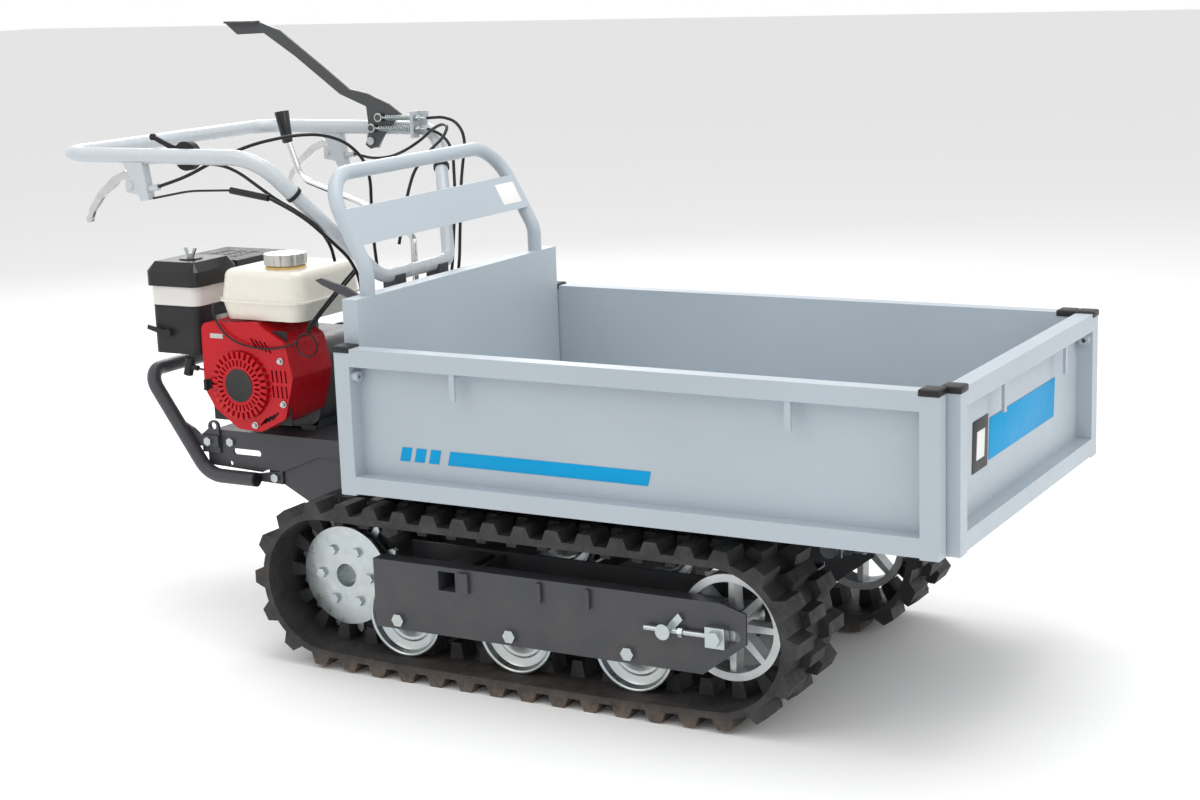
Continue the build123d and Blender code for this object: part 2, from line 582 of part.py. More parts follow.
def hook(x, z):
    """A lashing hook of flat strip under the top rail, drawn from the panel's middle."""
    face = FRAME_TUBE / 2 - SHEET
    strip = block((x - 5, x + 5), (-FRAME_TUBE / 2 + 1, -FRAME_TUBE / 2 + 6), (z - 46, z))
    return strip + block((x - 5, x + 5), (-FRAME_TUBE / 2 + 1, face), (z - 5, z))


def socket_boss(x, z, side):
    """A short tube on a post's inner face, for a locking pin."""
    span = sorted((x, x - side * 12))
    return along(Pos(-2, z) * (Circle(9) - Circle(4)), span)


def caps(length, height):
    """Plastic caps on the ends of a panel's two posts."""
    solids = []
    middle = (-SHEET / 2)
    for side in (-1, 1):
        for end in (-1, 1):
            x = side * (length / 2 - FRAME_TUBE / 2)
            z = sorted((end * height / 2, end * (height / 2 + CAP_THICK)))
            plug = sorted((end * height / 2, end * (height / 2 - CAP_PLUG)))
            half = FRAME_TUBE / 2
            cap = block((x - half, x + half), (-half, half), z)
            cap += block((x - half + FRAME_WALL + 0.3, x + half - FRAME_WALL - 0.3),
                         (middle - half + SHEET / 2 + FRAME_WALL + 0.3, middle + half - SHEET / 2 - FRAME_WALL - 0.3), plug)
            solids.append(cap)
    return solids


def side_panel(side, length):
    """A side panel with its slide bars, hooks, boss and caps: -1 is the near side, 1 the far side."""
    height = SIDE_HEIGHT
    shape = panel(length, height)
    under_rail = height / 2 - FRAME_TUBE
    for x in SIDE_HOOKS:
        shape += hook(x, under_rail)
    shape += socket_boss(-length / 2 + FRAME_TUBE + 12, 77.0, 1)
    solids = [shape] + caps(length, height)
    middle = (TRAY_REAR_X + length / 2, -TRAY_WIDTH / 2 + FRAME_TUBE / 2, TRAY_BOTTOM + height / 2)
    solids = [Pos(*middle) * s for s in solids]
    bars = []
    for x in side_bar_places(side * SIDE_BAR_OFFSET / 2):
        reach = SIDE_TRAVEL + SLIDE_OVERLAP
        bar = Rectangle(SLIDE_BAR, SLIDE_BAR)
        bars.append(across(Pos(x, SIDE_BAR_Z) * bar, (-INNER_Y, -INNER_Y + reach)))
    solids += bars
    if side > 0:
        solids = [mirror(s, about=Plane.XZ) for s in solids]
    return solids


def gate():
    """The front panel with its slide bars, hooks, boss and caps."""
    low, high = -INNER_Y + CORNER_GAP, TRAY_WIDTH / 2
    width = high - low
    height = SIDE_HEIGHT
    shape = panel(width, height)
    under_rail = height / 2 - FRAME_TUBE
    for y in GATE_HOOKS:
        shape += hook(y, under_rail)
    shape += socket_boss(width / 2 - FRAME_TUBE, 80.0, 1)
    solids = [shape] + caps(width, height)
    place = Pos(GATE_INNER_X + FRAME_TUBE / 2, (low + high) / 2, TRAY_BOTTOM + height / 2) * Rot(0, 0, 90)
    solids = [place * s for s in solids]
    reach = GATE_TRAVEL + SLIDE_OVERLAP
    bars = [along(Pos(y, GATE_BAR_Z) * Rectangle(SLIDE_BAR, SLIDE_BAR), (GATE_INNER_X - reach, GATE_INNER_X))
            for y in (-GATE_BAR_SPACING / 2, GATE_BAR_SPACING / 2)]
    return solids + bars


# ---------------------------------------------------------------- handlebar and controls

BAR_BEND_X = -735.0
BAR_BEND_Y = 288.0
BAR_FOOT_Y = 110.0
COLLAR_SHARE = 0.29
BAR_LAP = 36.0


def between(a, b, share):
    return tuple(p + (q - p) * share for p, q in zip(a, b))


def bar_corner(side):
    return (BAR_BEND_X, side * BAR_BEND_Y, BAR_Z)


def bar_foot(side):
    return (BAR_FOOT_X, side * BAR_FOOT_Y, BAR_FOOT_Z)


def collar_point(side):
    return between(bar_corner(side), bar_foot(side), COLLAR_SHARE)


BAR_BENDS = (80.0, 55.0, 55.0, 80.0)


def upper_bar_points():
    return [collar_point(-1), bar_corner(-1), (BAR_REAR_X, -BAR_HALF_WIDTH, BAR_Z),
            (BAR_REAR_X, BAR_HALF_WIDTH, BAR_Z), bar_corner(1), collar_point(1)]


def upper_handlebar():
    """The bent upper tube, from one collar round the rear crossbar to the other collar."""
    return bent_tube(upper_bar_points(), BAR_BENDS, BAR_UPPER_D, BAR_WALL)


def upper_bar_room():
    """The solid round bar that brackets are cut to fit."""
    return bent_rod(upper_bar_points(), BAR_BENDS, BAR_UPPER_D / 2)


def lower_handlebar():
    """The U-shaped lower tube, whose ends slide into the upper tube."""
    length = (Vector(*bar_corner(1)) - Vector(*bar_foot(1))).length
    lap = COLLAR_SHARE - BAR_LAP / length
    points = [between(bar_corner(-1), bar_foot(-1), lap), bar_foot(-1), bar_foot(1),
              between(bar_corner(1), bar_foot(1), lap)]
    return bent_tube(points, (45, 45), BAR_LOWER_D, BAR_WALL)


def black_fittings():
    """Black plastic: the two tube collars, the bumper's end plugs and the throttle housing."""
    solids = []
    for side in (-1, 1):
        start = collar_point(side)
        path = Line(start, bar_foot(side))
        ring = Circle(BAR_UPPER_D / 2 + 1.5) - Circle(BAR_LOWER_D / 2 + RUNNING_FIT)
        solids.append(extrude(Plane(origin=start, z_dir=path % 0) * ring, amount=7))
    plug = along(Pos(-BUMPER_Y, BUMPER_LOW_Z) * Circle(BUMPER_TUBE / 2), (BUMPER_FRONT_X, BUMPER_FRONT_X + 4))
    plug += along(Pos(-BUMPER_Y, BUMPER_LOW_Z) * Circle(BUMPER_TUBE / 2 - 2.2), (BUMPER_FRONT_X - 10, BUMPER_FRONT_X))
    solids += both(plug)
    housing = across(disc(THROTTLE_X, BAR_Z, 26), (THROTTLE_Y - 15, THROTTLE_Y))
    housing -= upper_bar_room()
    housing -= across(disc(THROTTLE_X, BAR_Z, 6), (THROTTLE_Y - 6, THROTTLE_Y))
    return solids + [housing]


THROTTLE_X = -894.0
THROTTLE_Y = -267.0
LEVER_PIVOT = (-1004.0, 834.0)
LEVER_Y = 297.0
CLUTCH_PIVOT = (-884.0, 861.0)
CLUTCH_Y = 270.5
SPRING_Y = CLUTCH_Y - 7.5


def throttle_lever():
    """The throttle lever: a thin black arm with a round finger end, on the housing's inner face."""
    arm = outline((6, 7), (-48, 20), (-52, 12), (-4, -8)) + disc(0, 0, 12)
    shape = across(arm, (0.4, 5))
    shape += across(outline((-44, 19), (-84, 35), (-88, 28), (-50, 11)), (1, 4.5)) + across(disc(-86, 31, 6), (0.4, 7))
    shape += across(disc(0, 0, 6 - RUNNING_FIT), (-5, 0.4))
    return Pos(THROTTLE_X, THROTTLE_Y, BAR_Z) * shape


def lever_brackets():
    """The two lever brackets under the handlebar's arms and the clutch lever's bracket on the far arm."""
    x, z = LEVER_PIVOT
    arm = outline((x - 16, BAR_Z - 10), (x + 30, BAR_Z - 10), (x + 40, BAR_Z - 76), (x + 22, BAR_Z - 80),
                  (x + 16, z - 16), (x - 11, z - 12), (x - 11, z + 12), (x + 2, z + 14))
    bracket = across(arm, (-LEVER_Y - 9, -LEVER_Y - 4)) + across(arm, (-LEVER_Y + 4, -LEVER_Y + 9))
    bracket += across(outline((x + 14, BAR_Z - 10), (x + 30, BAR_Z - 10), (x + 40, BAR_Z - 76), (x + 24, BAR_Z - 76)),
                      (-LEVER_Y - 4, -LEVER_Y + 4))
    bracket -= across(disc(x, z, 4), (-LEVER_Y - 20, -LEVER_Y + 20))
    bracket -= upper_bar_room()
    barrel = rod((x + 36, -LEVER_Y, z - 6), (x + 58, -LEVER_Y, z - 2), 6)
    pin = across(disc(x, z, 4), (-LEVER_Y - 12, -LEVER_Y + 12)) + across(disc(x, z, 7), (-LEVER_Y - 12, -LEVER_Y - 9))
    solids = both(bracket + barrel) + both(pin)
    px, pz = CLUTCH_PIVOT
    plate = outline((px - 14, pz - 14), (px + 14, pz - 14), (px + 30, BAR_Z - 8), (px + 128, BAR_Z - 8), (px + 134, pz + 60),
                    (px + 108, pz + 60), (px + 106, BAR_Z + 10), (px + 20, BAR_Z + 10), (px - 14, pz + 14))
    plate = across(plate - disc(px, pz, 5), (CLUTCH_Y + 6, CLUTCH_Y + 10))
    stop = block((px + 106, px + 112), (CLUTCH_Y - 17, CLUTCH_Y + 6), (pz + 8, pz + 60))
    stop -= [along(Pos(SPRING_Y, pz + dz) * Circle(4.5), (px + 100, px + 120)) for dx, dz in CLUTCH_EYES]
    clutch_pin = across(disc(px, pz, 5), (CLUTCH_Y - 4, CLUTCH_Y + 10)) + across(disc(px, pz, 8), (CLUTCH_Y - 4, CLUTCH_Y - 1))
    return solids + [plate + stop - upper_bar_room(), clutch_pin]


CLUTCH_EYES = ((26, 47), (8, 26))


def steering_lever():
    """The near steering lever, a hand lever that pulls its brake cable."""
    x, z = LEVER_PIVOT
    body = outline((x + 10, z + 10), (x - 8, z + 13), (x - 34, z + 3), (x - 72, z - 24), (x - 96, z - 50), (x - 104, z - 66),
                   (x - 112, z - 62), (x - 106, z - 44), (x - 82, z - 14), (x - 46, z + 14), (x - 16, z + 26), (x + 8, z + 20))
    body += disc(x, z, 13) + disc(x - 109, z - 64, 7)
    shape = across(body - disc(x, z, 4 + RUNNING_FIT), (-LEVER_Y - 3.5, -LEVER_Y + 3.5))
    return shape


def clutch_lever():
    """The drive lever: one flat bent plate pivoted below the far arm, with a folded hand grip."""
    px, pz = CLUTCH_PIVOT
    plate = outline((px - 14, pz - 8), (px - 2, pz - 16), (px + 16, pz - 10), (px + 46, pz + 30), (px + 76, pz + 52),
                    (px + 44, pz + 74), (px - 5, pz + 94), (px - 48, pz + 102), (px - 116, pz + 152), (px - 212, pz + 220),
                    (px - 268, pz + 239), (px - 316, pz + 239), (px - 350, pz + 237), (px - 318, pz + 212),
                    (px - 250, pz + 214), (px - 176, pz + 168), (px - 70, pz + 92), (px - 8, pz + 68), (px - 4, pz + 20))
    shape = across(plate - disc(px, pz, 5 + RUNNING_FIT), (CLUTCH_Y, CLUTCH_Y + 5))
    shape += block((px - 340, px - 262), (CLUTCH_Y - 14, CLUTCH_Y + 5), (pz + 235, pz + 239))
    for dx, dz in CLUTCH_EYES:
        shape += across(disc(px + dx, pz + dz, 6), (CLUTCH_Y - 12, CLUTCH_Y))
    return shape


def clutch_springs():
    """The clutch lever's two cable rods, each with its eye and its return spring."""
    px, pz = CLUTCH_PIVOT
    solids = []
    for (dx, dz) in CLUTCH_EYES:
        x, z, y = px + dx, pz + dz, SPRING_Y
        eye = across(disc(x, z, 9) - disc(x, z, 6 + RUNNING_FIT), (y - 4, y + 3))
        bar = rod((x + 8, y, z), (px + 140, y, z), 2.5)
        spring = rod((x + 24, y, z), (px + 105, y, z), 5.5)
        barrel = rod((px + 112.5, y, z), (px + 124, y, z), 7)
        solids.append(eye + bar + spring + barrel)
    return solids


def shift_lever():
    """The gear lever: a bent rod that turns the gearbox's upright selector shaft, and its knob."""
    y = SHIFT_Y
    foot = (SHIFT_X, y, GEARBOX_TOP + 12)
    points = [foot, (SHIFT_X, y, 712), (-752, y, 770), (-886, y, 812), (-914, y, 890)]
    bar = bent_rod(points, (22, 60, 45), SHIFT_R)
    aim = Plane(origin=points[-1], z_dir=Vector(-9, 0, 52).normalized())
    knob = extrude(aim.offset(-10) * Circle(9.5), amount=58, taper=-4)
    knob = fillet(knob.edges().group_by(SortBy.LENGTH)[-1], 9)
    return [bar - knob, knob]


# ---------------------------------------------------------------- engine frame and bumper

BUMPER_TUBE = 27.0
FRAME_BOLT_R = 5.0
BUMPER_Y = 146.0
BUMPER_LOW_Z = 265.0
BUMPER_FRONT_X = -897.0
BUMPER_REAR_X = -1142.0
BUMPER_TOP_Z = 457.0
SIDE_BOLT = (-1008.0, 329.0)
SECOND_BOLT = (-962.0, 329.0)
LOW_BOLT = (-862.0, 268.0)
FOOT_X = (-934.0, -822.0)
FOOT_Y = (-52.0, 92.0)
FOOT_HOLE_R = 5.0


def engine_frame():
    """The deck under the engine, its two side plates with slots, lifting eyes and front gussets."""
    inner = DECK_HALF_WIDTH - PLATE
    deck = block((-1000, -700), (-inner, inner), (DECK_TOP - DECK_THICK, DECK_TOP))
    deck -= [upright(Pos(x, y) * Circle(FOOT_HOLE_R), (DECK_TOP - DECK_THICK, DECK_TOP)) for x in FOOT_X for y in FOOT_Y]
    deck -= block((-905, -845), (-20, 60), (DECK_TOP - DECK_THICK, DECK_TOP))
    side = outline((-1000, DECK_TOP), (-1019, 340), (-1019, 281), (-892, 276), (-880, 282), (-842, 282),
                   (-760, 316), (-710, 316), (-700, 330), (-700, DECK_TOP))
    side -= Pos(-926, 311) * SlotOverall(66, 12)
    side -= disc(-966, 287, 4.5)
    side -= [disc(*SIDE_BOLT, 5), disc(*SECOND_BOLT, 5)]
    sides = both(across(side, (-DECK_HALF_WIDTH, -DECK_HALF_WIDTH + PLATE)))
    eye = outline((-1028, 306), (-986, 306), (-986, 352), (-1012, 352), (-1028, 340))
    eye = eye + disc(-999, 356, 13) - disc(-999, 358, 7) - disc(*SIDE_BOLT, 5)
    return [deck] + sides + both(across(eye, (-DECK_HALF_WIDTH - PLATE, -DECK_HALF_WIDTH)))


def bumper():
    """The bent tube bumper round the back of the engine, with a welded tab on each leg."""
    low = (BUMPER_FRONT_X, -BUMPER_Y, BUMPER_LOW_Z)
    points = [low, (-1008, -BUMPER_Y, BUMPER_LOW_Z), (BUMPER_REAR_X, -BUMPER_Y, BUMPER_TOP_Z),
              (BUMPER_REAR_X, BUMPER_Y, BUMPER_TOP_Z), (-1008, BUMPER_Y, BUMPER_LOW_Z),
              (BUMPER_FRONT_X, BUMPER_Y, BUMPER_LOW_Z)]
    tube = bent_tube(points, (60, 40, 40, 60), BUMPER_TUBE, 2)
    tab = outline((-1066, 362), (-1044, 352), (-1028, 340), (-986, 340), (-986, 318), (-1036, 318), (-1072, 345)) - disc(*SIDE_BOLT, 5)
    y = -DECK_HALF_WIDTH - 2 * PLATE
    tabs = both(across(tab, (y, y + PLATE)))
    foot = across(outline((-904, 258), (-904, 272), (-846, 282), (-846, 256)) - disc(*LOW_BOLT, 5), (-LINK_Y - 2 * PLATE, -LINK_Y - PLATE))
    foot += block((-908, -899), (-BUMPER_Y + BUMPER_TUBE / 2 - 1.5, -LINK_Y - PLATE), (258, 272))
    return tube + tabs + both(foot)


def hex_bolt(place, r, grip, head=6):
    """A hexagon bolt on a plane: its head stands on the plane and its shank goes below it."""
    shape = extrude(place * RegularPolygon(r * 1.75, 6), amount=head)
    return shape + extrude(place * Circle(r), amount=-grip)


def frame_bolts():
    """Bolts that hold the engine frame, the rollers and the tray's hinge pins."""
    solids = []
    outer = -DECK_HALF_WIDTH
    for (x, z), y, grip in ((SIDE_BOLT, outer - 2 * PLATE, 14), (SECOND_BOLT, outer, 5), (LOW_BOLT, -LINK_Y - 2 * PLATE, 10)):
        solids += both(hex_bolt(Plane(origin=(x, y, z), z_dir=(0, -1, 0)), 5, grip))
    for x in FOOT_X:
        for y in FOOT_Y:
            solids.append(hex_bolt(Plane(origin=(x, y, DECK_TOP + FOOT_THICK)), 4, FOOT_THICK + DECK_THICK))
    for bolt in roller_bolts():
        solids += both(bolt)
    return solids + hinge_pins()


FOOT_THICK = 9.0

# ---------------------------------------------------------------- engine

SLANT = 25.0
CRANKCASE = (-70.0, 108.0)


def slanted(shape):
    """Places a shape drawn with the cylinder's axis along -X on the crank axis."""
    return Pos(CRANK_X, 0, CRANK_Z) * Rot(0, SLANT, 0) * shape


def fins(x, y, z, count, gap):
    """Cooling fins: a block cut by evenly spaced grooves across X."""
    shape = block(x, y, z)
    core = block((x[0] - 1, x[1] + 1), (y[0] + 14, y[1] - 14), (z[0] + 14, z[1] - 14))
    pitch = (x[1] - x[0]) / count
    grooves = [block((x[0] + i * pitch + pitch - gap, x[0] + (i + 1) * pitch), (y[0] - 1, y[1] + 1), (z[0] - 1, z[1] + 1))
               for i in range(count)]
    return shape - (Part() + grooves - core)


def engine_block():
    """The crankcase with its feet and the finned cylinder, one casting, and the output shaft."""
    case = block((-962, -794), CRANKCASE, (DECK_TOP + FOOT_THICK, 520))
    case = fillet(case.edges().filter_by(Axis.Y), 30)
    case += across(disc(CRANK_X, CRANK_Z, 60), (CRANKCASE[1], CRANKCASE[1] + 8))
    feet = [block((x - 16, x + 16), (CRANKCASE[0] - 2, CRANKCASE[1]), (DECK_TOP, DECK_TOP + FOOT_THICK)) for x in FOOT_X]
    case = case + feet + block((-952, -804), (CRANKCASE[0] + 6, CRANKCASE[1] - 6), (DECK_TOP + 3, DECK_TOP + FOOT_THICK + 20))
    case -= [upright(Pos(x, y) * Circle(4), (DECK_TOP, DECK_TOP + FOOT_THICK)) for x in FOOT_X for y in FOOT_Y]
    pads = [block((x - 17, x + 17), (y - 14, y + 14), (DECK_TOP + FOOT_THICK, DECK_TOP + FOOT_THICK + 20))
            for x in FOOT_X for y in FOOT_Y]
    case -= pads
    tank_feet = [block((x - 10, x + 10), (-62, -24), (510, TANK_LOW)) for x in (-905, -830)]
    case += tank_feet
    cylinder = slanted(fins((-164, -70), (-48, 78), (-50, 50), 9, 5) + block((-74, -20), (-40, 70), (-40, 40)))
    case += cylinder
    return case - across(disc(CRANK_X, CRANK_Z, SHAFT_R_OUT + RUNNING_FIT), (20, 200))


SHAFT_R_OUT = 10.0


def cylinder_head():
    """The cylinder head and its valve cover."""
    head = fins((-204, -164.2), (-46, 76), (-48, 48), 4, 4)
    cover = block((-228, -204), (-30, 60), (-34, 34))
    cover = fillet(cover.edges().filter_by(Axis.X), 12)
    return slanted(head + cover)


def fan_side():
    """The side view of the fan cover: round at the front and bottom, straight towards the cylinder."""
    return outline((-86, 112), (38, 118), (104, 84), (118, 20), (96, -58), (38, -86), (-14, -84), (-66, -48), (-88, -12))


def fan_cover():
    """The red fan cover, an open-backed shell round the flywheel."""
    face = FAN_FACE_Y
    side = Pos(CRANK_X, CRANK_Z) * fillet(fan_side().vertices(), 16)
    shell = across(side, (face, face + FAN_DEPTH)) - across(offset(side, -3), (face + 3, face + FAN_DEPTH))
    ring = across(disc(CRANK_X, CRANK_Z, 64), (face, face + 3))
    return shell - ring


def recoil_cover():
    """The recoil starter's cover: a shallow drum with radial slots and a plain middle."""
    face = FAN_FACE_Y - 8
    drum = across(disc(CRANK_X, CRANK_Z, 63.7), (face, face + 18))
    drum = fillet(drum.edges().filter_by(GeomType.CIRCLE).sort_by(Axis.Y)[0], 5)
    drum -= across(disc(CRANK_X, CRANK_Z, 60), (face + 3, face + 18))
    slots = [across(Pos(CRANK_X, CRANK_Z) * Rot(0, 0, k * 360 / 28) * Pos(46, 0) * SlotOverall(24, 5), (face - 1, face + 4))
             for k in range(28)]
    return drum - slots


def recoil_grip():
    """The starter's T grip and the short length of rope that shows."""
    x, y, z = CRANK_X - 132, FAN_FACE_Y + 14, CRANK_Z + 24
    grip = rod((x - 5, y, z - 16), (x + 4, y, z + 16), 9)
    neck = rod((x, y, z), (x + 20, y, z - 3), 5)
    rope = rod((x + 18, y, z - 3), (CRANK_X - 88.2, y, z - 6), 2)
    return grip + neck + rope


TANK_X = (-934.0, -733.0)
TANK_Y = (-190.0, 22.0)
TANK_LOW = 577.0
TANK_SEAM = 612.0
TANK_TOP = 668.0
CAP_AT = (-815.0, -118.0)


def fuel_tank():
    """The fuel tank: two halves joined at a flange, with a filler neck."""
    x, y = TANK_X, TANK_Y
    base = Pos((x[0] + x[1]) / 2, (y[0] + y[1]) / 2)
    plan = RectangleRounded(x[1] - x[0] - 8, y[1] - y[0] - 8, 34)
    flange = RectangleRounded(x[1] - x[0], y[1] - y[0], 38)
    tank = upright(base * flange, (TANK_SEAM - 2, TANK_SEAM + 2))
    tank += Pos(0, 0, TANK_SEAM) * extrude(base * plan, amount=TANK_TOP - TANK_SEAM, taper=9)
    tank += Pos(0, 0, TANK_SEAM) * extrude(base * plan, amount=TANK_LOW - TANK_SEAM, taper=16)
    top = tank.edges().group_by(Axis.Z)[-1]
    tank = fillet(top, 16)
    inner = RectangleRounded(x[1] - x[0] - 13, y[1] - y[0] - 13, 32)
    tank -= Pos(0, 0, TANK_SEAM) * extrude(base * inner, amount=TANK_TOP - TANK_SEAM - 8, taper=12)
    tank -= Pos(0, 0, TANK_SEAM) * extrude(base * inner, amount=TANK_LOW - TANK_SEAM + 3, taper=17)
    tank += upright(Pos(*CAP_AT) * Circle(31), (TANK_TOP - 4, TANK_TOP + 6))
    return tank


def fuel_cap():
    """The fuel cap, a round plated cap with finger notches."""
    cap = upright(Pos(*CAP_AT) * Circle(39.5), (TANK_TOP + 6.3, TANK_TOP + 26))
    notches = [upright(Pos(*CAP_AT) * Rot(0, 0, k * 30) * Pos(44, 0) * Circle(7), (TANK_TOP + 6, TANK_TOP + 27))
               for k in range(12)]
    cap -= notches
    return cap


CLEANER_X = (-1110.0, -986.0)
CLEANER_Y = (-170.0, -42.0)
CLEANER_INSET = 6.0


def cleaner_plan(inset, corner):
    x, y = CLEANER_X, CLEANER_Y
    return Pos((x[0] + x[1]) / 2, (y[0] + y[1]) / 2) * RectangleRounded(x[1] - x[0] - 2 * inset, y[1] - y[0] - 2 * inset, corner)


def air_cleaner_body():
    """The air cleaner's base: the pale band and the dark lower housing."""
    lower = upright(cleaner_plan(CLEANER_INSET, 16), (500, 592))
    band = upright(cleaner_plan(5, 18), (592, 628))
    stud = upright(Pos(-1046, -108) * Circle(3), (628, 684))
    return lower + band + stud


def air_cleaner_cover():
    """The air cleaner's cover, with sloped top edges."""
    cover = upright(cleaner_plan(0, 16), (628.3, 656)) + Pos(0, 0, 656) * extrude(cleaner_plan(0, 16), amount=17, taper=42)
    cover += upright(Pos(-1046, -108) * Circle(22), (670, 675))
    return cover - upright(Pos(-1046, -108) * Circle(3.05), (620, 690))


def cleaner_nut():
    nut = upright(Circle(7) - Circle(3.05), (675.3, 684))
    wings = [across(outline((side * 5, 677), (side * 7, 677), (side * 15, 694), (side * 9, 694), (side * 5, 684)), (-2, 2))
             for side in (-1, 1)]
    return Pos(-1046, -108, 0) * (nut + wings)


def carburettor():
    """The carburettor and its float bowl, between the air cleaner and the fan cover."""
    x = (CLEANER_X[1] - CLEANER_INSET + 0.3, CRANK_X - 89)
    body = block(x, (-112, -48.3), (522, 568))
    bowl = upright(Pos((x[0] + x[1]) / 2, -92) * Circle(12), (498, 522))
    return body + bowl + across(disc((x[0] + x[1]) / 2, 545, 9), (-122, -112))


def choke_lever():
    arm = outline((-4, 5), (-46, 14), (-48, 6), (-4, -5)) + disc(0, 0, 8)
    return Pos(-1060, CLEANER_Y[0] - 1, 540) * (across(arm, (-4, 0)) + across(disc(0, 0, 5), (0, 6.5)))


def engine_switch():
    x, z = CRANK_X - 75, CRANK_Z - 3
    return Pos(x, FAN_FACE_Y - 0.3, z) * (across(disc(0, 0, 9), (-6, 0)) + across(outline((-3, -10), (3, -10), (3, 10), (-3, 10)), (-14, -6)))


MUFFLER_X = (-1146.0, -1000.0)
MUFFLER_Y = (-28.0, 122.0)


def muffler():
    """The muffler's pressed body and its outlet."""
    body = block((MUFFLER_X[0] + 14, MUFFLER_X[1] - 14), (MUFFLER_Y[0] + 14, MUFFLER_Y[1] - 14), (598, 648))
    body = fillet(body.edges().filter_by(Axis.Y), 18)
    body -= block((MUFFLER_X[0] + 20, MUFFLER_X[1] - 20), (MUFFLER_Y[0] + 16, MUFFLER_Y[1] - 16), (602, 644))
    body += [upright(Pos(x, (MUFFLER_Y[0] + MUFFLER_Y[1]) / 2) * Circle(5), (645, 658)) for x in (-1105, -1041)]
    body += rod((MUFFLER_X[0] + 50, MUFFLER_Y[1] - 14, 620), (MUFFLER_X[0] + 50, MUFFLER_Y[1] + 6, 620), 11)
    neck = slanted(block((-197, -182), (50, 74), (48, 80)))
    return body + neck


def muffler_guard():
    """The perforated heat guard over the muffler, open at the bottom."""
    x, y = MUFFLER_X, MUFFLER_Y
    shell = block(x, y, (600, 660)) - block((x[0] + 2, x[1] - 2), (y[0] + 2, y[1] - 2), (600, 658))
    rows = range(-5, 6)
    holes = [across(Pos((x[0] + x[1]) / 2 + 12 * k, 646) * SlotOverall(12, 6, rotation=90), (y[0] - 1, y[0] + 3)) for k in rows]
    slots = [upright(Pos((x[0] + x[1]) / 2 + 30 * i, (y[0] + y[1]) / 2 + 16 * j) * SlotOverall(22, 6), (657, 661))
             for i in (-1, 0, 1) for j in (-2, -1, 0, 1, 2)]
    outlet = across(disc(x[0] + 50, 620, 14), (y[1] - 3, y[1] + 1))
    return shell - holes - slots - outlet


# ---------------------------------------------------------------- belt drive

AXLE_TUBE_R = 30.0
BELT_WHEELS = [(CRANK_X, CRANK_Z, CRANK_PULLEY_R), (BOX_SHAFT_X, BOX_SHAFT_Z, BOX_PULLEY_R)]
BELT_HALF = 6.5
BELT_GROOVE = 9.0
TENSION_PIVOT = (-742.0, 395.0)
TENSION_R = 22.0


def v_belt():
    """The V-belt, a wedge section on both straight runs and round both pulleys."""
    outer = belt_face(BELT_WHEELS, 4) - belt_face(BELT_WHEELS, -4)
    return across(outer, (BELT_Y - BELT_HALF, BELT_Y + BELT_HALF))


def pulley(x, z, r):
    """A grooved pulley: the belt sits in the groove a little clear of its walls."""
    wall = r + 5
    wheel = across(disc(x, z, wall), (BELT_Y - BELT_HALF - 5, BELT_Y + BELT_HALF + 5))
    groove = disc(x, z, wall + 1) - disc(x, z, r - 4 - WHEEL_GAP)
    return wheel - across(groove, (BELT_Y - BELT_HALF - WHEEL_GAP, BELT_Y + BELT_HALF + WHEEL_GAP))


def crank_pulley():
    shaft = across(disc(CRANK_X, CRANK_Z, SHAFT_R_OUT), (40, BELT_Y + 20))
    return pulley(CRANK_X, CRANK_Z, CRANK_PULLEY_R) + shaft


def gearbox_pulley():
    shaft = across(disc(BOX_SHAFT_X, BOX_SHAFT_Z, 10), (10, BELT_Y + 16))
    return pulley(BOX_SHAFT_X, BOX_SHAFT_Z, BOX_PULLEY_R) + shaft


def tensioner_arm():
    """The belt tensioner: an arm on a pivot with a jockey wheel, stored clear of the belt."""
    (px, pz), r = TENSION_PIVOT, TENSION_R
    wheel_x, wheel_z = JOCKEY
    arm = outline((px - 8, pz + 4), (wheel_x - 7, wheel_z - 3), (wheel_x + 7, wheel_z - 6), (px + 9, pz - 2))
    shape = across(arm + disc(px, pz, 12) + disc(wheel_x, wheel_z, 10), (BELT_Y - 15, BELT_Y - 11))
    shape += across(disc(wheel_x, wheel_z, r), (BELT_Y - 10, BELT_Y + 10)) + across(disc(wheel_x, wheel_z, 8), (BELT_Y - 11, BELT_Y - 10))
    return shape - across(disc(px, pz, 6 + RUNNING_FIT), (BELT_Y - 20, BELT_Y))


JOCKEY = (-689.6, 323.7)


def belt_cover():
    """The sheet cover round the belt, open towards the engine, with the tensioner's pivot pin."""
    far = BELT_Y + 26
    side = belt_face([(CRANK_X, CRANK_Z, 62), (BOX_SHAFT_X, BOX_SHAFT_Z, 70), (-704, 400, 30)], 0)
    inner = belt_face([(CRANK_X, CRANK_Z, 62), (BOX_SHAFT_X, BOX_SHAFT_Z, 70), (-704, 400, 30)], -2)
    shape = across(side, (DECK_HALF_WIDTH + 0.5, far)) - across(inner, (DECK_HALF_WIDTH + 0.5, far - 2))
    shape -= across(disc(SPROCKET_X, AXLE_Z, AXLE_TUBE_R + 2), (DECK_HALF_WIDTH, far + 1))
    px, pz = TENSION_PIVOT
    return shape + across(disc(px, pz, 6), (BELT_Y - 15.5, far))


# ---------------------------------------------------------------- control cables

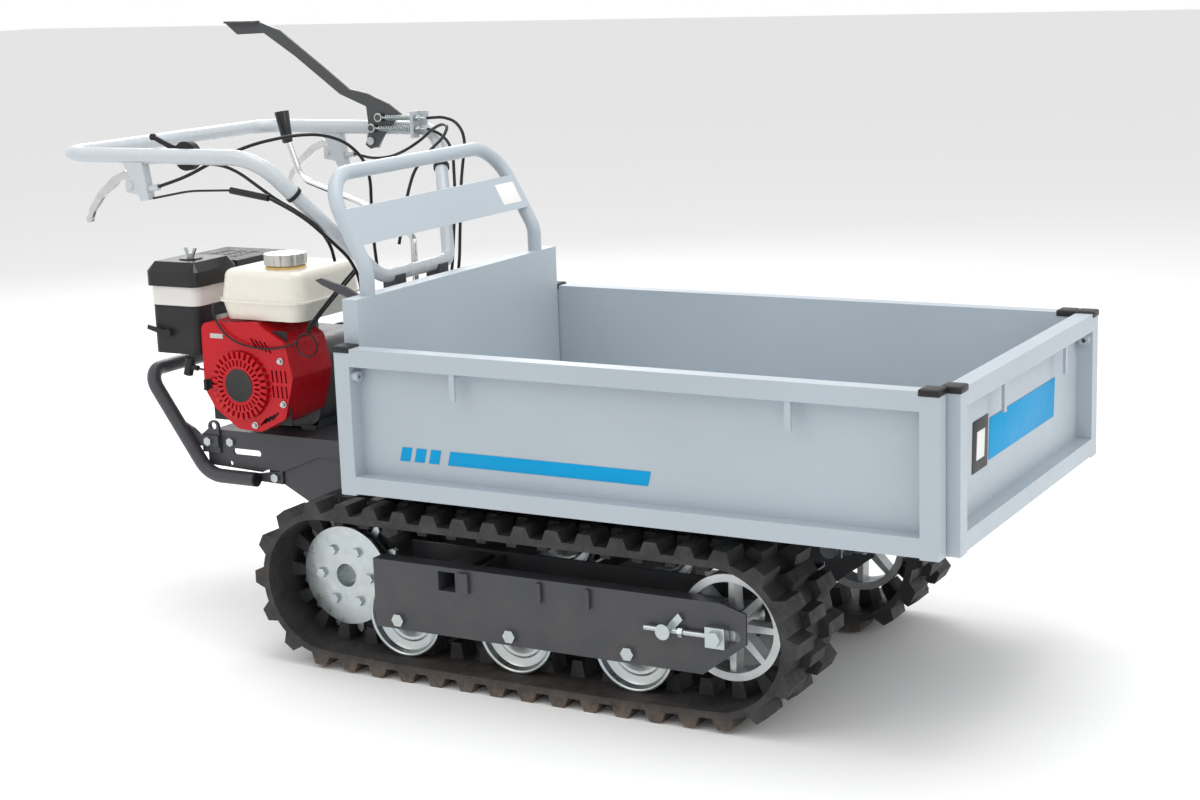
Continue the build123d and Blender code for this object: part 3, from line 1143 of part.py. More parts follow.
CABLE_R = 3.0
NEAR_LEVER_CABLE = [(-945, -297, 833), (-890, -288, 850), (-836, -262, 880), (-775, -240, 905), (-726, -190, 916),
                    (-700, -140, 914), (-684, -90, 896), (-680, -45, 862), (-690, -12, 822), (-700, 0, 770),
                    (-702, 4, 700), (-700, 10, 640)]
FAR_LEVER_CABLE = [(-945, 297, 832), (-900, 292, 824), (-850, 282, 828), (-800, 268, 844), (-752, 256, 868),
                   (-716, 241, 890), (-682, 224, 901), (-656, 202, 898), (-650, 176, 880), (-662, 142, 856),
                   (-672, 106, 826), (-674, 84, 788), (-678, 70, 740), (-686, 62, 690)]
NEAR_ROD_CABLE = [(-711, -285.8, 816.8), (-676, -272, 796), (-656, -254, 776), (-640, -236, 752), (-628, -214, 728),
                  (-620, -190, 704), (-622, -166, 676), (-632, -140, 640), (-650, -118, 590)]
CLUTCH_CABLE_UPPER = [(-743.2, 263, 908), (-704, 258, 911), (-674, 254, 904), (-654, 249, 886), (-646, 244, 860),
                      (-648, 236, 826), (-646, 224, 790), (-632, 196, 742), (-618, 168, 700), (-610, 150, 650),
                      (-620, 146, 590)]
CLUTCH_CABLE_LOWER = [(-743.2, 263, 887), (-712, 258, 879), (-688, 250, 864), (-674, 243, 840), (-668, 234, 808),
                      (-658, 219, 776), (-642, 189, 730), (-630, 163, 688), (-624, 146, 640), (-630, 138, 590)]
THROTTLE_CABLE = [(-872, -262, 872), (-830, -256, 868), (-790, -262, 856), (-748, -270, 836), (-716, -262, 812),
                  (-690, -240, 790), (-668, -210, 760), (-664, -180, 722), (-680, -150, 690)]


def cable(points, r=CABLE_R):
    """A sheathed cable whose bends are as large as its runs allow."""
    corners = [Vector(*p) for p in points]
    radii = []
    for a, b, c in zip(corners, corners[1:], corners[2:]):
        turn = radians((b - a).get_angle(c - b))
        radii.append(0.45 * min((b - a).length, (c - b).length) / tan(turn / 2))
    print("cable bend radii", [round(bend) for bend in radii])
    return bent_rod(points, radii, r)


def control_cables():
    """The brake, clutch and throttle cables and the near brake rod with its adjuster."""
    routes = (NEAR_LEVER_CABLE, FAR_LEVER_CABLE, NEAR_ROD_CABLE, CLUTCH_CABLE_UPPER, CLUTCH_CABLE_LOWER, THROTTLE_CABLE)
    solids = [cable(points) for points in routes]
    start, end = (-963.6, -294, 811), (-790, -290, 829)
    solids.append(bent_rod([start, (-880, -292, 826), end], (300,), 2))
    solids.append(rod((-790, -290, 829), (-712, -286, 817), 6))
    return solids


os.makedirs("parts", exist_ok=True)

save("near_track", track())
save("far_track", mirror(track(), about=Plane.XZ))
save("near_sprocket", *sprocket())
save("far_sprocket", *[mirror(s, about=Plane.XZ) for s in sprocket()])
save("near_idler", idler())
save("far_idler", mirror(idler(), about=Plane.XZ))
for name, x in zip(("rear", "middle", "front"), ROLLER_X):
    save(f"near_roller_{name}", roller(x))
    save(f"far_roller_{name}", mirror(roller(x), about=Plane.XZ))
save("near_track_frame", *track_frame())
save("far_track_frame", *[mirror(s, about=Plane.XZ) for s in track_frame()])
save("track_tensioners", *[piece for s in tensioner() for piece in both(s)])
save("chassis_frame", chassis())
save("gearbox", gearbox())
save("tray_buffers", *buffers())
save("tray_subframe", subframe())
save("tray_floor", floor_sheet())
save("headboard", headboard())
save("tray_latch", latch())
save("backrest", backrest())
save("near_side", *side_panel(-1, TRAY_LENGTH))
save("far_side", *side_panel(1, TRAY_LENGTH - FAR_SIDE_SHORTER))
save("gate", *gate())
save("upper_handlebar", upper_handlebar())
save("lower_handlebar", lower_handlebar())
save("black_fittings", *black_fittings())
save("throttle_lever", throttle_lever())
save("lever_brackets", *lever_brackets())
save("near_steering_lever", steering_lever())
save("far_steering_lever", mirror(steering_lever(), about=Plane.XZ))
save("clutch_lever", clutch_lever())
save("clutch_springs", *clutch_springs())
save("shift_lever", *shift_lever())
save("engine_frame", *engine_frame())
save("bumper", bumper())
save("frame_bolts", *frame_bolts())
save("engine_block", engine_block())
save("cylinder_head", cylinder_head())
save("fan_cover", fan_cover())
save("recoil_cover", recoil_cover())
save("recoil_grip", recoil_grip())
save("fuel_tank", fuel_tank())
save("fuel_cap", fuel_cap())
save("air_cleaner_body", air_cleaner_body())
save("air_cleaner_cover", air_cleaner_cover())
save("cleaner_nut", cleaner_nut())
save("carburettor", carburettor())
save("choke_lever", choke_lever())
save("engine_switch", engine_switch())
save("muffler", muffler())
save("muffler_guard", muffler_guard())
save("v_belt", v_belt())
save("crank_pulley", crank_pulley())
save("gearbox_pulley", gearbox_pulley())
save("tensioner_arm", tensioner_arm())
save("belt_cover", belt_cover())
save("control_cables", *control_cables())
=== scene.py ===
import json
from math import cos, pi, radians, sin

import bpy
from mathutils import Matrix, Vector


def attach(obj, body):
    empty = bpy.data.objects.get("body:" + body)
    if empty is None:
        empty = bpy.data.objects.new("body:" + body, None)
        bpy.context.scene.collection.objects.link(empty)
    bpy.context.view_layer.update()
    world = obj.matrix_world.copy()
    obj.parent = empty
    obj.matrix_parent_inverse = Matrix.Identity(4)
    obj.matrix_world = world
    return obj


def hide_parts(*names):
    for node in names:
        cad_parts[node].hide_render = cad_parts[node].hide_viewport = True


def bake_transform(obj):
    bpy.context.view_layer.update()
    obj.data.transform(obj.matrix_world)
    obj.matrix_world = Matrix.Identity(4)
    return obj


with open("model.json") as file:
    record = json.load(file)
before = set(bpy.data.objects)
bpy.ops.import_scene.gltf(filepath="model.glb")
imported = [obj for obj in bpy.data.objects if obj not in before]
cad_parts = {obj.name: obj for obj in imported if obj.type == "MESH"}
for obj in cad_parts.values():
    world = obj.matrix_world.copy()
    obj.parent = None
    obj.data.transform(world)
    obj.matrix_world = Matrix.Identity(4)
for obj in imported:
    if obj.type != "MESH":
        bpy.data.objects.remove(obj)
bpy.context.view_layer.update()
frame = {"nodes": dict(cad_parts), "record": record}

BACK = 0.339          # metres from the CAD's datum at the tray's middle to the frame's origin
SMOOTH_ANGLE = 35     # degrees between faces that still shade as one surface

# ------------------------------------------------------------------ materials


def start(name):
    """An empty material: its tree, its shader and its coordinates."""
    material = bpy.data.materials.new(name)
    material.use_nodes = True
    tree = material.node_tree
    shader = tree.nodes["Principled BSDF"]
    place = tree.nodes.new("ShaderNodeTexCoord").outputs["Object"]
    return material, tree, shader, place


def wire(tree, value, socket):
    """Links an output to a socket, or sets the socket to a plain value."""
    if isinstance(value, bpy.types.NodeSocket):
        tree.links.new(value, socket)
    elif isinstance(value, (tuple, list)) and len(value) == 3 and socket.type == "RGBA":
        socket.default_value = (*value, 1)
    else:
        socket.default_value = value


def noise(tree, place, scale, detail=4.0, rough=0.55, stretch=(1, 1, 1)):
    texture = tree.nodes.new("ShaderNodeTexNoise")
    texture.inputs["Scale"].default_value = scale
    texture.inputs["Detail"].default_value = detail
    texture.inputs["Roughness"].default_value = rough
    if stretch != (1, 1, 1):
        mapping = tree.nodes.new("ShaderNodeMapping")
        mapping.inputs["Scale"].default_value = stretch
        tree.links.new(place, mapping.inputs["Vector"])
        place = mapping.outputs["Vector"]
    tree.links.new(place, texture.inputs["Vector"])
    return texture.outputs["Fac"]


def between(tree, value, low, high, out_low=0.0, out_high=1.0):
    """Maps a value from one span to another, and holds it at the ends."""
    node = tree.nodes.new("ShaderNodeMapRange")
    for key, number in (("From Min", low), ("From Max", high), ("To Min", out_low), ("To Max", out_high)):
        node.inputs[key].default_value = number
    tree.links.new(value, node.inputs["Value"])
    return node.outputs["Result"]


def sums(tree, operation, a, b):
    node = tree.nodes.new("ShaderNodeMath")
    node.operation = operation
    wire(tree, a, node.inputs[0])
    wire(tree, b, node.inputs[1])
    return node.outputs[0]


def mixed(tree, share, a, b):
    node = tree.nodes.new("ShaderNodeMix")
    node.data_type = "RGBA"
    wire(tree, share, node.inputs["Factor"])
    wire(tree, a, node.inputs[6])
    wire(tree, b, node.inputs[7])
    return node.outputs[2]


def bumped(tree, shader, height, depth, strength=1.0):
    node = tree.nodes.new("ShaderNodeBump")
    node.inputs["Distance"].default_value = depth
    node.inputs["Strength"].default_value = strength
    tree.links.new(height, node.inputs["Height"])
    tree.links.new(node.outputs["Normal"], shader.inputs["Normal"])


def axis_of(tree, place, letter):
    node = tree.nodes.new("ShaderNodeSeparateXYZ")
    tree.links.new(place, node.inputs[0])
    return node.outputs[letter]


def shade(colour, share):
    return tuple(c * share for c in colour)


def paint(name, colour, rough=0.32, coat=0.0, peel=0.00006, dusty=0.0, dust_top=0.3,
          metal=0.0, gleam=0.4):
    """Sprayed paint: a faint orange peel, small shifts of tone, and dust that thickens downwards."""
    material, tree, shader, place = start(name)
    broad = noise(tree, place, 2.5, 3)
    body = mixed(tree, between(tree, broad, 0.3, 0.7), shade(colour, 0.955), shade(colour, 1.03))
    marks = between(tree, noise(tree, place, 26, 8, 0.7), 0.62, 0.78)
    body = mixed(tree, sums(tree, "MULTIPLY", marks, 0.16), body, shade(colour, 0.72))
    if dusty:
        low = between(tree, axis_of(tree, place, "Z"), dust_top, 0.02)
        cloud = between(tree, noise(tree, place, 14, 7, 0.65), 0.42, 0.68)
        amount = sums(tree, "MULTIPLY", sums(tree, "MULTIPLY", low, cloud), dusty)
        body = mixed(tree, amount, body, (0.16, 0.125, 0.09))
    wire(tree, body, shader.inputs["Base Color"])
    grain = noise(tree, place, 40, 5)
    wire(tree, between(tree, grain, 0.3, 0.75, rough - 0.05, rough + 0.09), shader.inputs["Roughness"])
    shader.inputs["Coat Weight"].default_value = coat
    shader.inputs["Coat Roughness"].default_value = 0.12
    shader.inputs["Specular IOR Level"].default_value = gleam
    shader.inputs["Metallic"].default_value = metal
    bumped(tree, shader, noise(tree, place, 420, 2), peel * 6, 0.5)
    return material


def plating(name, colour=(0.5, 0.55, 0.57), warm=(0.56, 0.53, 0.42), rough=0.3, share=0.3):
    """Zinc plate: bluish metal with yellowish clouds and fine spangle."""
    material, tree, shader, place = start(name)
    cloud = between(tree, noise(tree, place, 18, 5, 0.6), 0.42, 0.66)
    body = mixed(tree, sums(tree, "MULTIPLY", cloud, share), colour, warm)
    spots = between(tree, noise(tree, place, 90, 6, 0.7), 0.6, 0.8)
    body = mixed(tree, sums(tree, "MULTIPLY", spots, 0.35), body, shade(colour, 0.5))
    wire(tree, body, shader.inputs["Base Color"])
    shader.inputs["Metallic"].default_value = 1.0
    wear = between(tree, noise(tree, place, 60, 6), 0.3, 0.75, rough - 0.06, rough + 0.14)
    wire(tree, wear, shader.inputs["Roughness"])
    bumped(tree, shader, noise(tree, place, 240, 3), 0.0003, 0.35)
    return material


def casting(name, colour, rough=0.5, grain=300.0, metal=0.75):
    """Sand-cast or die-cast metal, softly pitted, with darker hollows."""
    material, tree, shader, place = start(name)
    cloud = between(tree, noise(tree, place, 30, 6, 0.6), 0.35, 0.7)
    wire(tree, mixed(tree, cloud, shade(colour, 0.8), colour), shader.inputs["Base Color"])
    shader.inputs["Metallic"].default_value = metal
    wear = between(tree, noise(tree, place, 50, 4), 0.3, 0.7, rough - 0.08, rough + 0.1)
    wire(tree, wear, shader.inputs["Roughness"])
    bumped(tree, shader, noise(tree, place, grain, 4, 0.6), 0.0012, 0.5)
    return material


def plastic(name, colour, rough=0.45, grain=0.0002, coat=0.0, gleam=0.28):
    """Moulded plastic with a fine even grain."""
    material, tree, shader, place = start(name)
    cloud = between(tree, noise(tree, place, 12, 3), 0.3, 0.7)
    wire(tree, mixed(tree, cloud, shade(colour, 0.85), shade(colour, 1.15)), shader.inputs["Base Color"])
    wear = between(tree, noise(tree, place, 70, 3), 0.3, 0.7, rough - 0.04, rough + 0.06)
    wire(tree, wear, shader.inputs["Roughness"])
    shader.inputs["Coat Weight"].default_value = coat
    shader.inputs["Coat Roughness"].default_value = 0.08
    shader.inputs["Specular IOR Level"].default_value = gleam
    bumped(tree, shader, noise(tree, place, 900, 2), grain, 0.4)
    return material


def banded(material, low, high, colour):
    """Repaints a material between two heights, for a moulded band of another colour."""
    tree = material.node_tree
    shader = tree.nodes["Principled BSDF"]
    place = tree.nodes.new("ShaderNodeTexCoord").outputs["Object"]
    height = axis_of(tree, place, "Z")
    above = sums(tree, "GREATER_THAN", height, low)
    inside = sums(tree, "MULTIPLY", above, sums(tree, "LESS_THAN", height, high))
    before = shader.inputs["Base Color"].links[0].from_socket
    cloud = mixed(tree, between(tree, noise(tree, place, 30, 4), 0.3, 0.7), shade(colour, 0.94), colour)
    wire(tree, mixed(tree, inside, before, cloud), shader.inputs["Base Color"])
    return material


def tread(name):
    """Track rubber: black, finely ribbed across, scuffed, with dry earth on the lowest lugs."""
    material, tree, shader, place = start(name)
    scuffs = between(tree, noise(tree, place, 22, 7, 0.7), 0.4, 0.7)
    body = mixed(tree, scuffs, (0.012, 0.012, 0.013), (0.04, 0.039, 0.038))
    height = axis_of(tree, place, "Z")
    low = between(tree, height, 0.035, 0.0)
    earth = sums(tree, "MULTIPLY", low, between(tree, noise(tree, place, 60, 6, 0.7), 0.3, 0.62))
    body = mixed(tree, sums(tree, "MULTIPLY", earth, 0.75), body, (0.19, 0.135, 0.095))
    film = between(tree, noise(tree, place, 9, 6, 0.65), 0.5, 0.75, 0.0, 0.22)
    wire(tree, mixed(tree, film, body, (0.1, 0.085, 0.07)), shader.inputs["Base Color"])
    wire(tree, between(tree, noise(tree, place, 45, 5), 0.3, 0.7, 0.5, 0.78), shader.inputs["Roughness"])
    ribs = tree.nodes.new("ShaderNodeTexWave")
    ribs.bands_direction = "Y"
    ribs.inputs["Scale"].default_value = 62
    ribs.inputs["Distortion"].default_value = 0.6
    tree.links.new(place, ribs.inputs["Vector"])
    relief = sums(tree, "ADD", sums(tree, "MULTIPLY", ribs.outputs["Fac"], 0.5), noise(tree, place, 160, 5))
    bumped(tree, shader, relief, 0.0016, 0.55)
    return material


GREY = (0.42, 0.475, 0.52)
SKINS = {
    "track_rubber": tread("track rubber"),
    "charcoal_paint": paint("charcoal paint", (0.056, 0.058, 0.066), 0.36, dusty=0.25),
    "grey_paint": paint("tray paint", GREY, 0.36),
    "bar_paint": paint("handlebar paint", (0.5, 0.54, 0.57), 0.24, coat=0.35),
    "zinc": plating("zinc plate"),
    "cast_silver": casting("cast silver", (0.74, 0.77, 0.78), 0.38, metal=0.6),
    "engine_red": paint("engine red", (0.5, 0.003, 0.01), 0.28, coat=0.12, gleam=0.25),
    "engine_alloy": casting("engine alloy", (0.13, 0.13, 0.135), 0.5),
    "tank_paint": paint("tank cream", (0.78, 0.75, 0.66), 0.28, coat=0.35),
    "cap_metal": casting("cap metal", (0.62, 0.61, 0.57), 0.32, 500, 0.9),
    "black_plastic": plastic("black plastic", (0.018, 0.018, 0.02), 0.5),
    "black_gloss": plastic("black gloss", (0.009, 0.009, 0.01), 0.18, 0.00008, 0.25, 0.35),
    "heat_black": paint("heat black", (0.02, 0.02, 0.021), 0.5),
    "lever_steel": paint("lever steel", (0.085, 0.087, 0.09), 0.38, metal=0.5),
    "chrome_rod": plating("chrome rod", (0.75, 0.75, 0.76), (0.7, 0.7, 0.7), 0.12, 0.2),
    "belt_rubber": plastic("belt rubber", (0.02, 0.02, 0.02), 0.7),
    "buffer_rubber": plastic("buffer rubber", (0.02, 0.02, 0.02), 0.65),
    "cable_sheath": plastic("cable sheath", (0.013, 0.013, 0.014), 0.33),
}
for part in frame["record"]["subparts"]:
    node = frame["nodes"][part["node"]]
    node.data.materials.clear()
    node.data.materials.append(SKINS[part["material_slot"]])


def reskin(name, material):
    node = frame["nodes"][name]
    node.data.materials.clear()
    node.data.materials.append(material)


BLUE = paint("stripe blue", (0.001, 0.31, 0.62), 0.4, gleam=0.15)
STICKER_BLACK = paint("stripe black", (0.01, 0.01, 0.012), 0.4)
STICKER_WHITE = paint("label white", (0.8, 0.8, 0.78), 0.45)
CAP_BLACK = plastic("cap black", (0.02, 0.02, 0.022), 0.42)
WHITE_BAND = (0.592, 0.6283)   # heights of the air cleaner's white ring, in metres
housing = plastic("cleaner housing", (0.02, 0.02, 0.022), 0.42)
reskin("air_cleaner_body", banded(housing, *WHITE_BAND, (0.72, 0.71, 0.68)))
reskin("near_steering_lever", casting("polished lever", (0.7, 0.7, 0.7), 0.25, 500, 0.95))
reskin("far_steering_lever", frame["nodes"]["near_steering_lever"].data.materials[0])

# ------------------------------------------------------------------ modelling


def alone(piece):
    """Selects one piece and makes it the active one."""
    if bpy.context.object and bpy.context.object.mode != "OBJECT":
        bpy.ops.object.mode_set(mode="OBJECT")
    bpy.ops.object.select_all(action="DESELECT")
    piece.select_set(True)
    bpy.context.view_layer.objects.active = piece


def datum(x, y, z):
    """A point given from the tray's middle in millimetres, in the frame's metres."""
    return Vector((x / 1000 + BACK, y / 1000, z / 1000))


def bar(name, x, y, z):
    """A block between three pairs of limits in millimetres, with its place in its mesh."""
    low, high = datum(x[0], y[0], z[0]), datum(x[1], y[1], z[1])
    bpy.ops.object.select_all(action="DESELECT")
    bpy.ops.mesh.primitive_cube_add(size=1, location=(low + high) / 2)
    piece = bpy.context.object
    piece.name = name
    piece.scale = high - low
    bpy.ops.object.transform_apply(location=True, rotation=True, scale=True)
    return piece


TURNS = {"X": (0, pi / 2, 0), "Y": (pi / 2, 0, 0), "Z": (0, 0, 0)}


def drum(name, centre, r, depth, axis="Y", sides=48):
    """A cylinder about a row axis in millimetres, with its place in its mesh."""
    bpy.ops.object.select_all(action="DESELECT")
    bpy.ops.mesh.primitive_cylinder_add(vertices=sides, radius=r / 1000, depth=depth / 1000,
                                        location=datum(*centre), rotation=TURNS[axis])
    piece = bpy.context.object
    piece.name = name
    bpy.ops.object.transform_apply(location=True, rotation=True, scale=True)
    return piece


def face_on(piece, direction):
    """Selects the flat face furthest along a direction, in edit mode."""
    alone(piece)
    bpy.ops.object.mode_set(mode="EDIT")
    bpy.ops.mesh.select_all(action="DESELECT")
    bpy.ops.mesh.select_mode(type="FACE")
    bpy.ops.object.mode_set(mode="OBJECT")
    way = Vector(direction)
    facing = [f for f in piece.data.polygons if f.normal.dot(way) > 0.98]
    max(facing, key=lambda f: (round(f.center.dot(way), 5), f.area)).select = True
    bpy.ops.object.mode_set(mode="EDIT")


def stepped(piece, direction, steps):
    """Insets and pushes a face again and again: each step is a width inwards and a depth, in millimetres."""
    face_on(piece, direction)
    for width, depth in steps:
        bpy.ops.mesh.inset(thickness=width / 1000, depth=depth / 1000)
    bpy.ops.object.mode_set(mode="OBJECT")
    return piece


def bevelled(piece, width, segments=3, angle=30):
    alone(piece)
    modifier = piece.modifiers.new("bevel", "BEVEL")
    modifier.width = width / 1000
    modifier.segments = segments
    modifier.limit_method = "ANGLE"
    modifier.angle_limit = radians(angle)
    bpy.ops.object.modifier_apply(modifier=modifier.name)
    bpy.ops.object.shade_smooth_by_angle(angle=radians(SMOOTH_ANGLE))
    return piece


def nudge(piece, test, offset):
    """Moves the points that pass a test by an offset in millimetres."""
    alone(piece)
    bpy.ops.object.mode_set(mode="EDIT")
    bpy.ops.mesh.select_mode(type="VERT")
    bpy.ops.mesh.select_all(action="DESELECT")
    bpy.ops.object.mode_set(mode="OBJECT")
    for vertex in piece.data.vertices:
        vertex.select = test(vertex.co)
    bpy.ops.object.mode_set(mode="EDIT")
    bpy.ops.transform.translate(value=tuple(v / 1000 for v in offset))
    bpy.ops.object.mode_set(mode="OBJECT")
    return piece


def joined(name, pieces):
    bpy.ops.object.select_all(action="DESELECT")
    for piece in pieces:
        piece.select_set(True)
    bpy.context.view_layer.objects.active = pieces[0]
    bpy.ops.object.join()
    pieces[0].name = name
    return pieces[0]


def turned(point, axis, degrees_):
    """A turn about an axis through a datum point."""
    at = datum(*point)
    return Matrix.Translation(at) @ Matrix.Rotation(radians(degrees_), 4, axis) @ Matrix.Translation(-at)


def done(piece, body, slot, material=None, instead_of=()):
    """Gives a piece its finish and the body it rides on."""
    piece.data.materials.clear()
    piece.data.materials.append(material or SKINS[slot])
    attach(piece, body)
    if instead_of:
        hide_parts(*instead_of)
    return piece


# ------------------------------------------------------------------ tray trim

SHEET_FACE = -337.4      # outer face of the near side's sheet
GATE_FACE = 528.4        # outer face of the gate's sheet
POST_TOP = 578.0         # top of the CAD's post caps
CAP_HALF = 16.5          # the caps stand a little proud of the posts
CAP_DEPTH, CAP_RISE = 7, 3
POST_X, POST_Y = 520, 350
FAR_FRONT_X = 508        # the far panel is shorter, to clear the gate's post
GATE_POST_X, GATE_NEAR_Y = 541, -317
STRIPE_Z = (387, 411)
STRIPE_THICK = 0.5
STRIPE_SLANT = 6
MARK_SLANT = 4


def post_cap(name, x, y, body):
    """A black cap pushed on a square post, a little wider than the tube, with a low crowned top."""
    cap = bar(name, (x - CAP_HALF, x + CAP_HALF), (y - CAP_HALF, y + CAP_HALF),
              (POST_TOP - CAP_DEPTH, POST_TOP + CAP_RISE))
    stepped(cap, (0, 0, 1), ((3, 1.2), (4, 0.4)))
    bevelled(cap, 1.2, 3)
    return done(cap, body, "black_plastic", CAP_BLACK)


for side, front, y in (("near_side", POST_X, -POST_Y), ("far_side", FAR_FRONT_X, POST_Y)):
    post_cap(f"{side}_cap_front", front, y, side)
    post_cap(f"{side}_cap_rear", -POST_X, y, side)
for end, y in (("near", GATE_NEAR_Y), ("far", POST_Y)):
    post_cap(f"gate_cap_{end}", GATE_POST_X, y, "gate")


def stripe(name, face, across, z, body, material, slant):
    """A thin flat stripe on a panel's sheet, with its ends slanted: across is Y on the gate and X on a side."""
    if body == "gate":
        piece = bar(name, (face, face + STRIPE_THICK), across, z)
        lean = (0, slant, 0)
    else:
        piece = bar(name, across, (face - STRIPE_THICK, face), z)
        lean = (slant, 0, 0)
    nudge(piece, lambda co: co.z > z[1] / 1000 - 0.001, lean)
    bevelled(piece, 0.12, 2)
    return done(piece, body, "grey_paint", material)


stripe("near_stripe_bar", SHEET_FACE, (-334, 42), STRIPE_Z, "near_side", BLUE, STRIPE_SLANT)
for index, x in enumerate((-430, -401, -372)):
    stripe(f"near_stripe_block_{index}", SHEET_FACE, (x, x + 20), STRIPE_Z, "near_side", BLUE, STRIPE_SLANT)
stripe("gate_mark_block", GATE_FACE, (-204, -134), (418, 499), "gate", STICKER_BLACK, MARK_SLANT)
stripe("gate_mark_inset", GATE_FACE + STRIPE_THICK, (-186, -150), (436, 480), "gate", STICKER_WHITE, MARK_SLANT)
stripe("gate_mark_bar", GATE_FACE, (-128, 204), (424, 490), "gate", BLUE, STRIPE_SLANT)

# a blank rating label at the far end of the backrest's plate, which leans back
PLATE_MID = (-543.5, 228.0, 770.0)
PLATE_LEAN = -28.15
label = bar("backrest_label", (-543.6, -543.0), (196, 260), (749, 791))
label.data.transform(turned(PLATE_MID, "Y", PLATE_LEAN))
done(bevelled(label, 0.15, 2), "tray", "grey_paint", STICKER_WHITE)

# ------------------------------------------------------------------ lever knob

KNOB_FOOT = (-912.3, 38.0, 880.1)
KNOB_WAY = Vector((-9, 0, 52)).normalized()


def lever_knob(foot, way):
    """The gear lever's moulded knob: it widens upwards and ends in a dome."""
    bpy.ops.object.select_all(action="DESELECT")
    bpy.ops.mesh.primitive_cone_add(vertices=48, radius1=0.0099, radius2=0.0139, depth=0.0585)
    knob = bpy.context.object
    knob.name = "shift_knob"
    stepped(knob, (0, 0, -1), ((1.6, 0.0), (0.6, 1.4)))
    stepped(knob, (0, 0, 1), ((1.6, 0.9), (1.8, 0.5)))
    bevelled(knob, 3.2, 5, 40)
    upright = Vector((0, 0, 1)).rotation_difference(way).to_matrix().to_4x4()
    knob.data.transform(Matrix.Translation(datum(*foot) + way * 0.0292) @ upright)
    return knob


done(lever_knob(KNOB_FOOT, KNOB_WAY), "shift_lever", "black_gloss")


# ------------------------------------------------------------------ track wheels


ROLLERS = {"rear": -454, "middle": -230, "front": -6}
ROLLER_Z = 102
ROLLER_OUT_Y, ROLLER_MID_Y, ROLLER_IN_Y = 305, 267, 229
DISC_R, DISC_DEPTH = 71.6, 23.6
HUB_R, HUB_LENGTH = 12, 114
BOWL = ((3.5, 0.6), (2.5, -2.0), (3.5, -9.0), (13, -5.5), (4, 1.2), (4, -1.2), (13, 2.0), (5, 6.0), (6, 1.0))
DISC_BACK = ((4, -3), (20, -2))
HUB_END = ((3, 0), (1, -2))


def roller_disc(name, x, y, outward):
    """One dished roller disc: a rolled rim, a deep bowl and a raised hub."""
    disc = drum(name, (x, y, ROLLER_Z), DISC_R, DISC_DEPTH, "Y", 72)
    stepped(disc, (0, outward, 0), BOWL)
    stepped(disc, (0, -outward, 0), DISC_BACK)
    return bevelled(disc, 0.8, 2, 25)


for side, sign in (("near", -1), ("far", 1)):
    for where, x in ROLLERS.items():
        outer = roller_disc("outer", x, sign * ROLLER_OUT_Y, sign)
        inner = roller_disc("inner", x, sign * ROLLER_IN_Y, -sign)
        hub = drum("hub", (x, sign * ROLLER_MID_Y, ROLLER_Z), HUB_R, HUB_LENGTH, "Y", 32)
        for way in (1, -1):
            stepped(hub, (0, way, 0), HUB_END)
        wheel = joined(f"{side}_{where}_track_roller", [outer, inner, bevelled(hub, 0.5, 2)])
        done(wheel, f"{side}_roller_{where}", "zinc", None, (f"{side}_roller_{where}",))

# ------------------------------------------------------------------ engine

CRANK = (-878, 457)
COWL_FACE = -190
STARTER_R, STARTER_DEPTH = 63.5, 8
STARTER_STEPS = ((3, 0.8), (9, -0.6), (2, 1.2), (15, 0.2), (2, -1.0))
RAYS = 30
BADGE_R = 31


def cad_copy(node, name):
    """A merged copy of a CAD node's mesh, to be cut further."""
    piece = frame["nodes"][node].copy()
    piece.data = piece.data.copy()
    piece.parent = None
    piece.matrix_world = Matrix.Identity(4)
    piece.name = name
    bpy.context.collection.objects.link(piece)
    alone(piece)
    bpy.ops.object.mode_set(mode="EDIT")
    bpy.ops.mesh.select_all(action="SELECT")
    bpy.ops.mesh.remove_doubles(threshold=0.00001)
    bpy.ops.mesh.tris_convert_to_quads()
    bpy.ops.object.mode_set(mode="OBJECT")
    return piece


def cut(piece, cutters):
    """Cuts a group of blocks out of a piece and removes them."""
    tool = joined("cutter", cutters)
    modifier = piece.modifiers.new("cut", "BOOLEAN")
    modifier.operation = "DIFFERENCE"
    modifier.solver = "EXACT"
    modifier.use_self = True
    modifier.object = tool
    alone(piece)
    bpy.ops.object.modifier_apply(modifier=modifier.name)
    bpy.data.objects.remove(tool)
    bpy.ops.object.shade_smooth_by_angle(angle=radians(SMOOTH_ANGLE))
    return piece


def slit(x, z, length, width, lean):
    """A block that cuts one slanted cooling slit through the cowl's face."""
    tool = bar("slit", (x - length / 2, x + length / 2), (COWL_FACE - 4, COWL_FACE + 8),
               (z - width / 2, z + width / 2))
    tool.data.transform(turned((x, 0, z), "Y", lean))
    return tool


def ray_slit(radius, length, width, degrees_):
    """A block that cuts one radial slit of the starter cover."""
    x, z = CRANK
    tool = bar("slit", (x + radius - length / 2, x + radius + length / 2), (COWL_FACE - 14, COWL_FACE - 1),
               (z - width / 2, z + width / 2))
    tool.data.transform(turned((x, 0, z), "Y", degrees_))
    return tool


cowl = cad_copy("fan_cover", "fan_cowl")
columns = [slit(x, z, 23, 3.6, 86) for x in (-806, -796, -786, -776) for z in (478, 449)]
upper = [slit(-843 + 10 * k, 536 - 2 * k, 24, 3.6, 52) for k in range(4)]
lower = [slit(-832 + 9 * k, 391 + 4 * k, 22, 3.6, -44) for k in range(4)]
cut(cowl, columns + upper + lower)
done(cowl, "chassis", "engine_red", None, ("fan_cover",))

# painted shade: a flat black sheet just behind the cowl's slits, so they show dark as the shaded inside of the
# cowl would
slit_shade_sheet = bar("cowl_lining", (-955, -775), (COWL_FACE + 9, COWL_FACE + 12), (385, 560))
stepped(slit_shade_sheet, (0, -1, 0), ((20, -1),))
done(bevelled(slit_shade_sheet, 12, 4, 60), "chassis", "black_plastic")

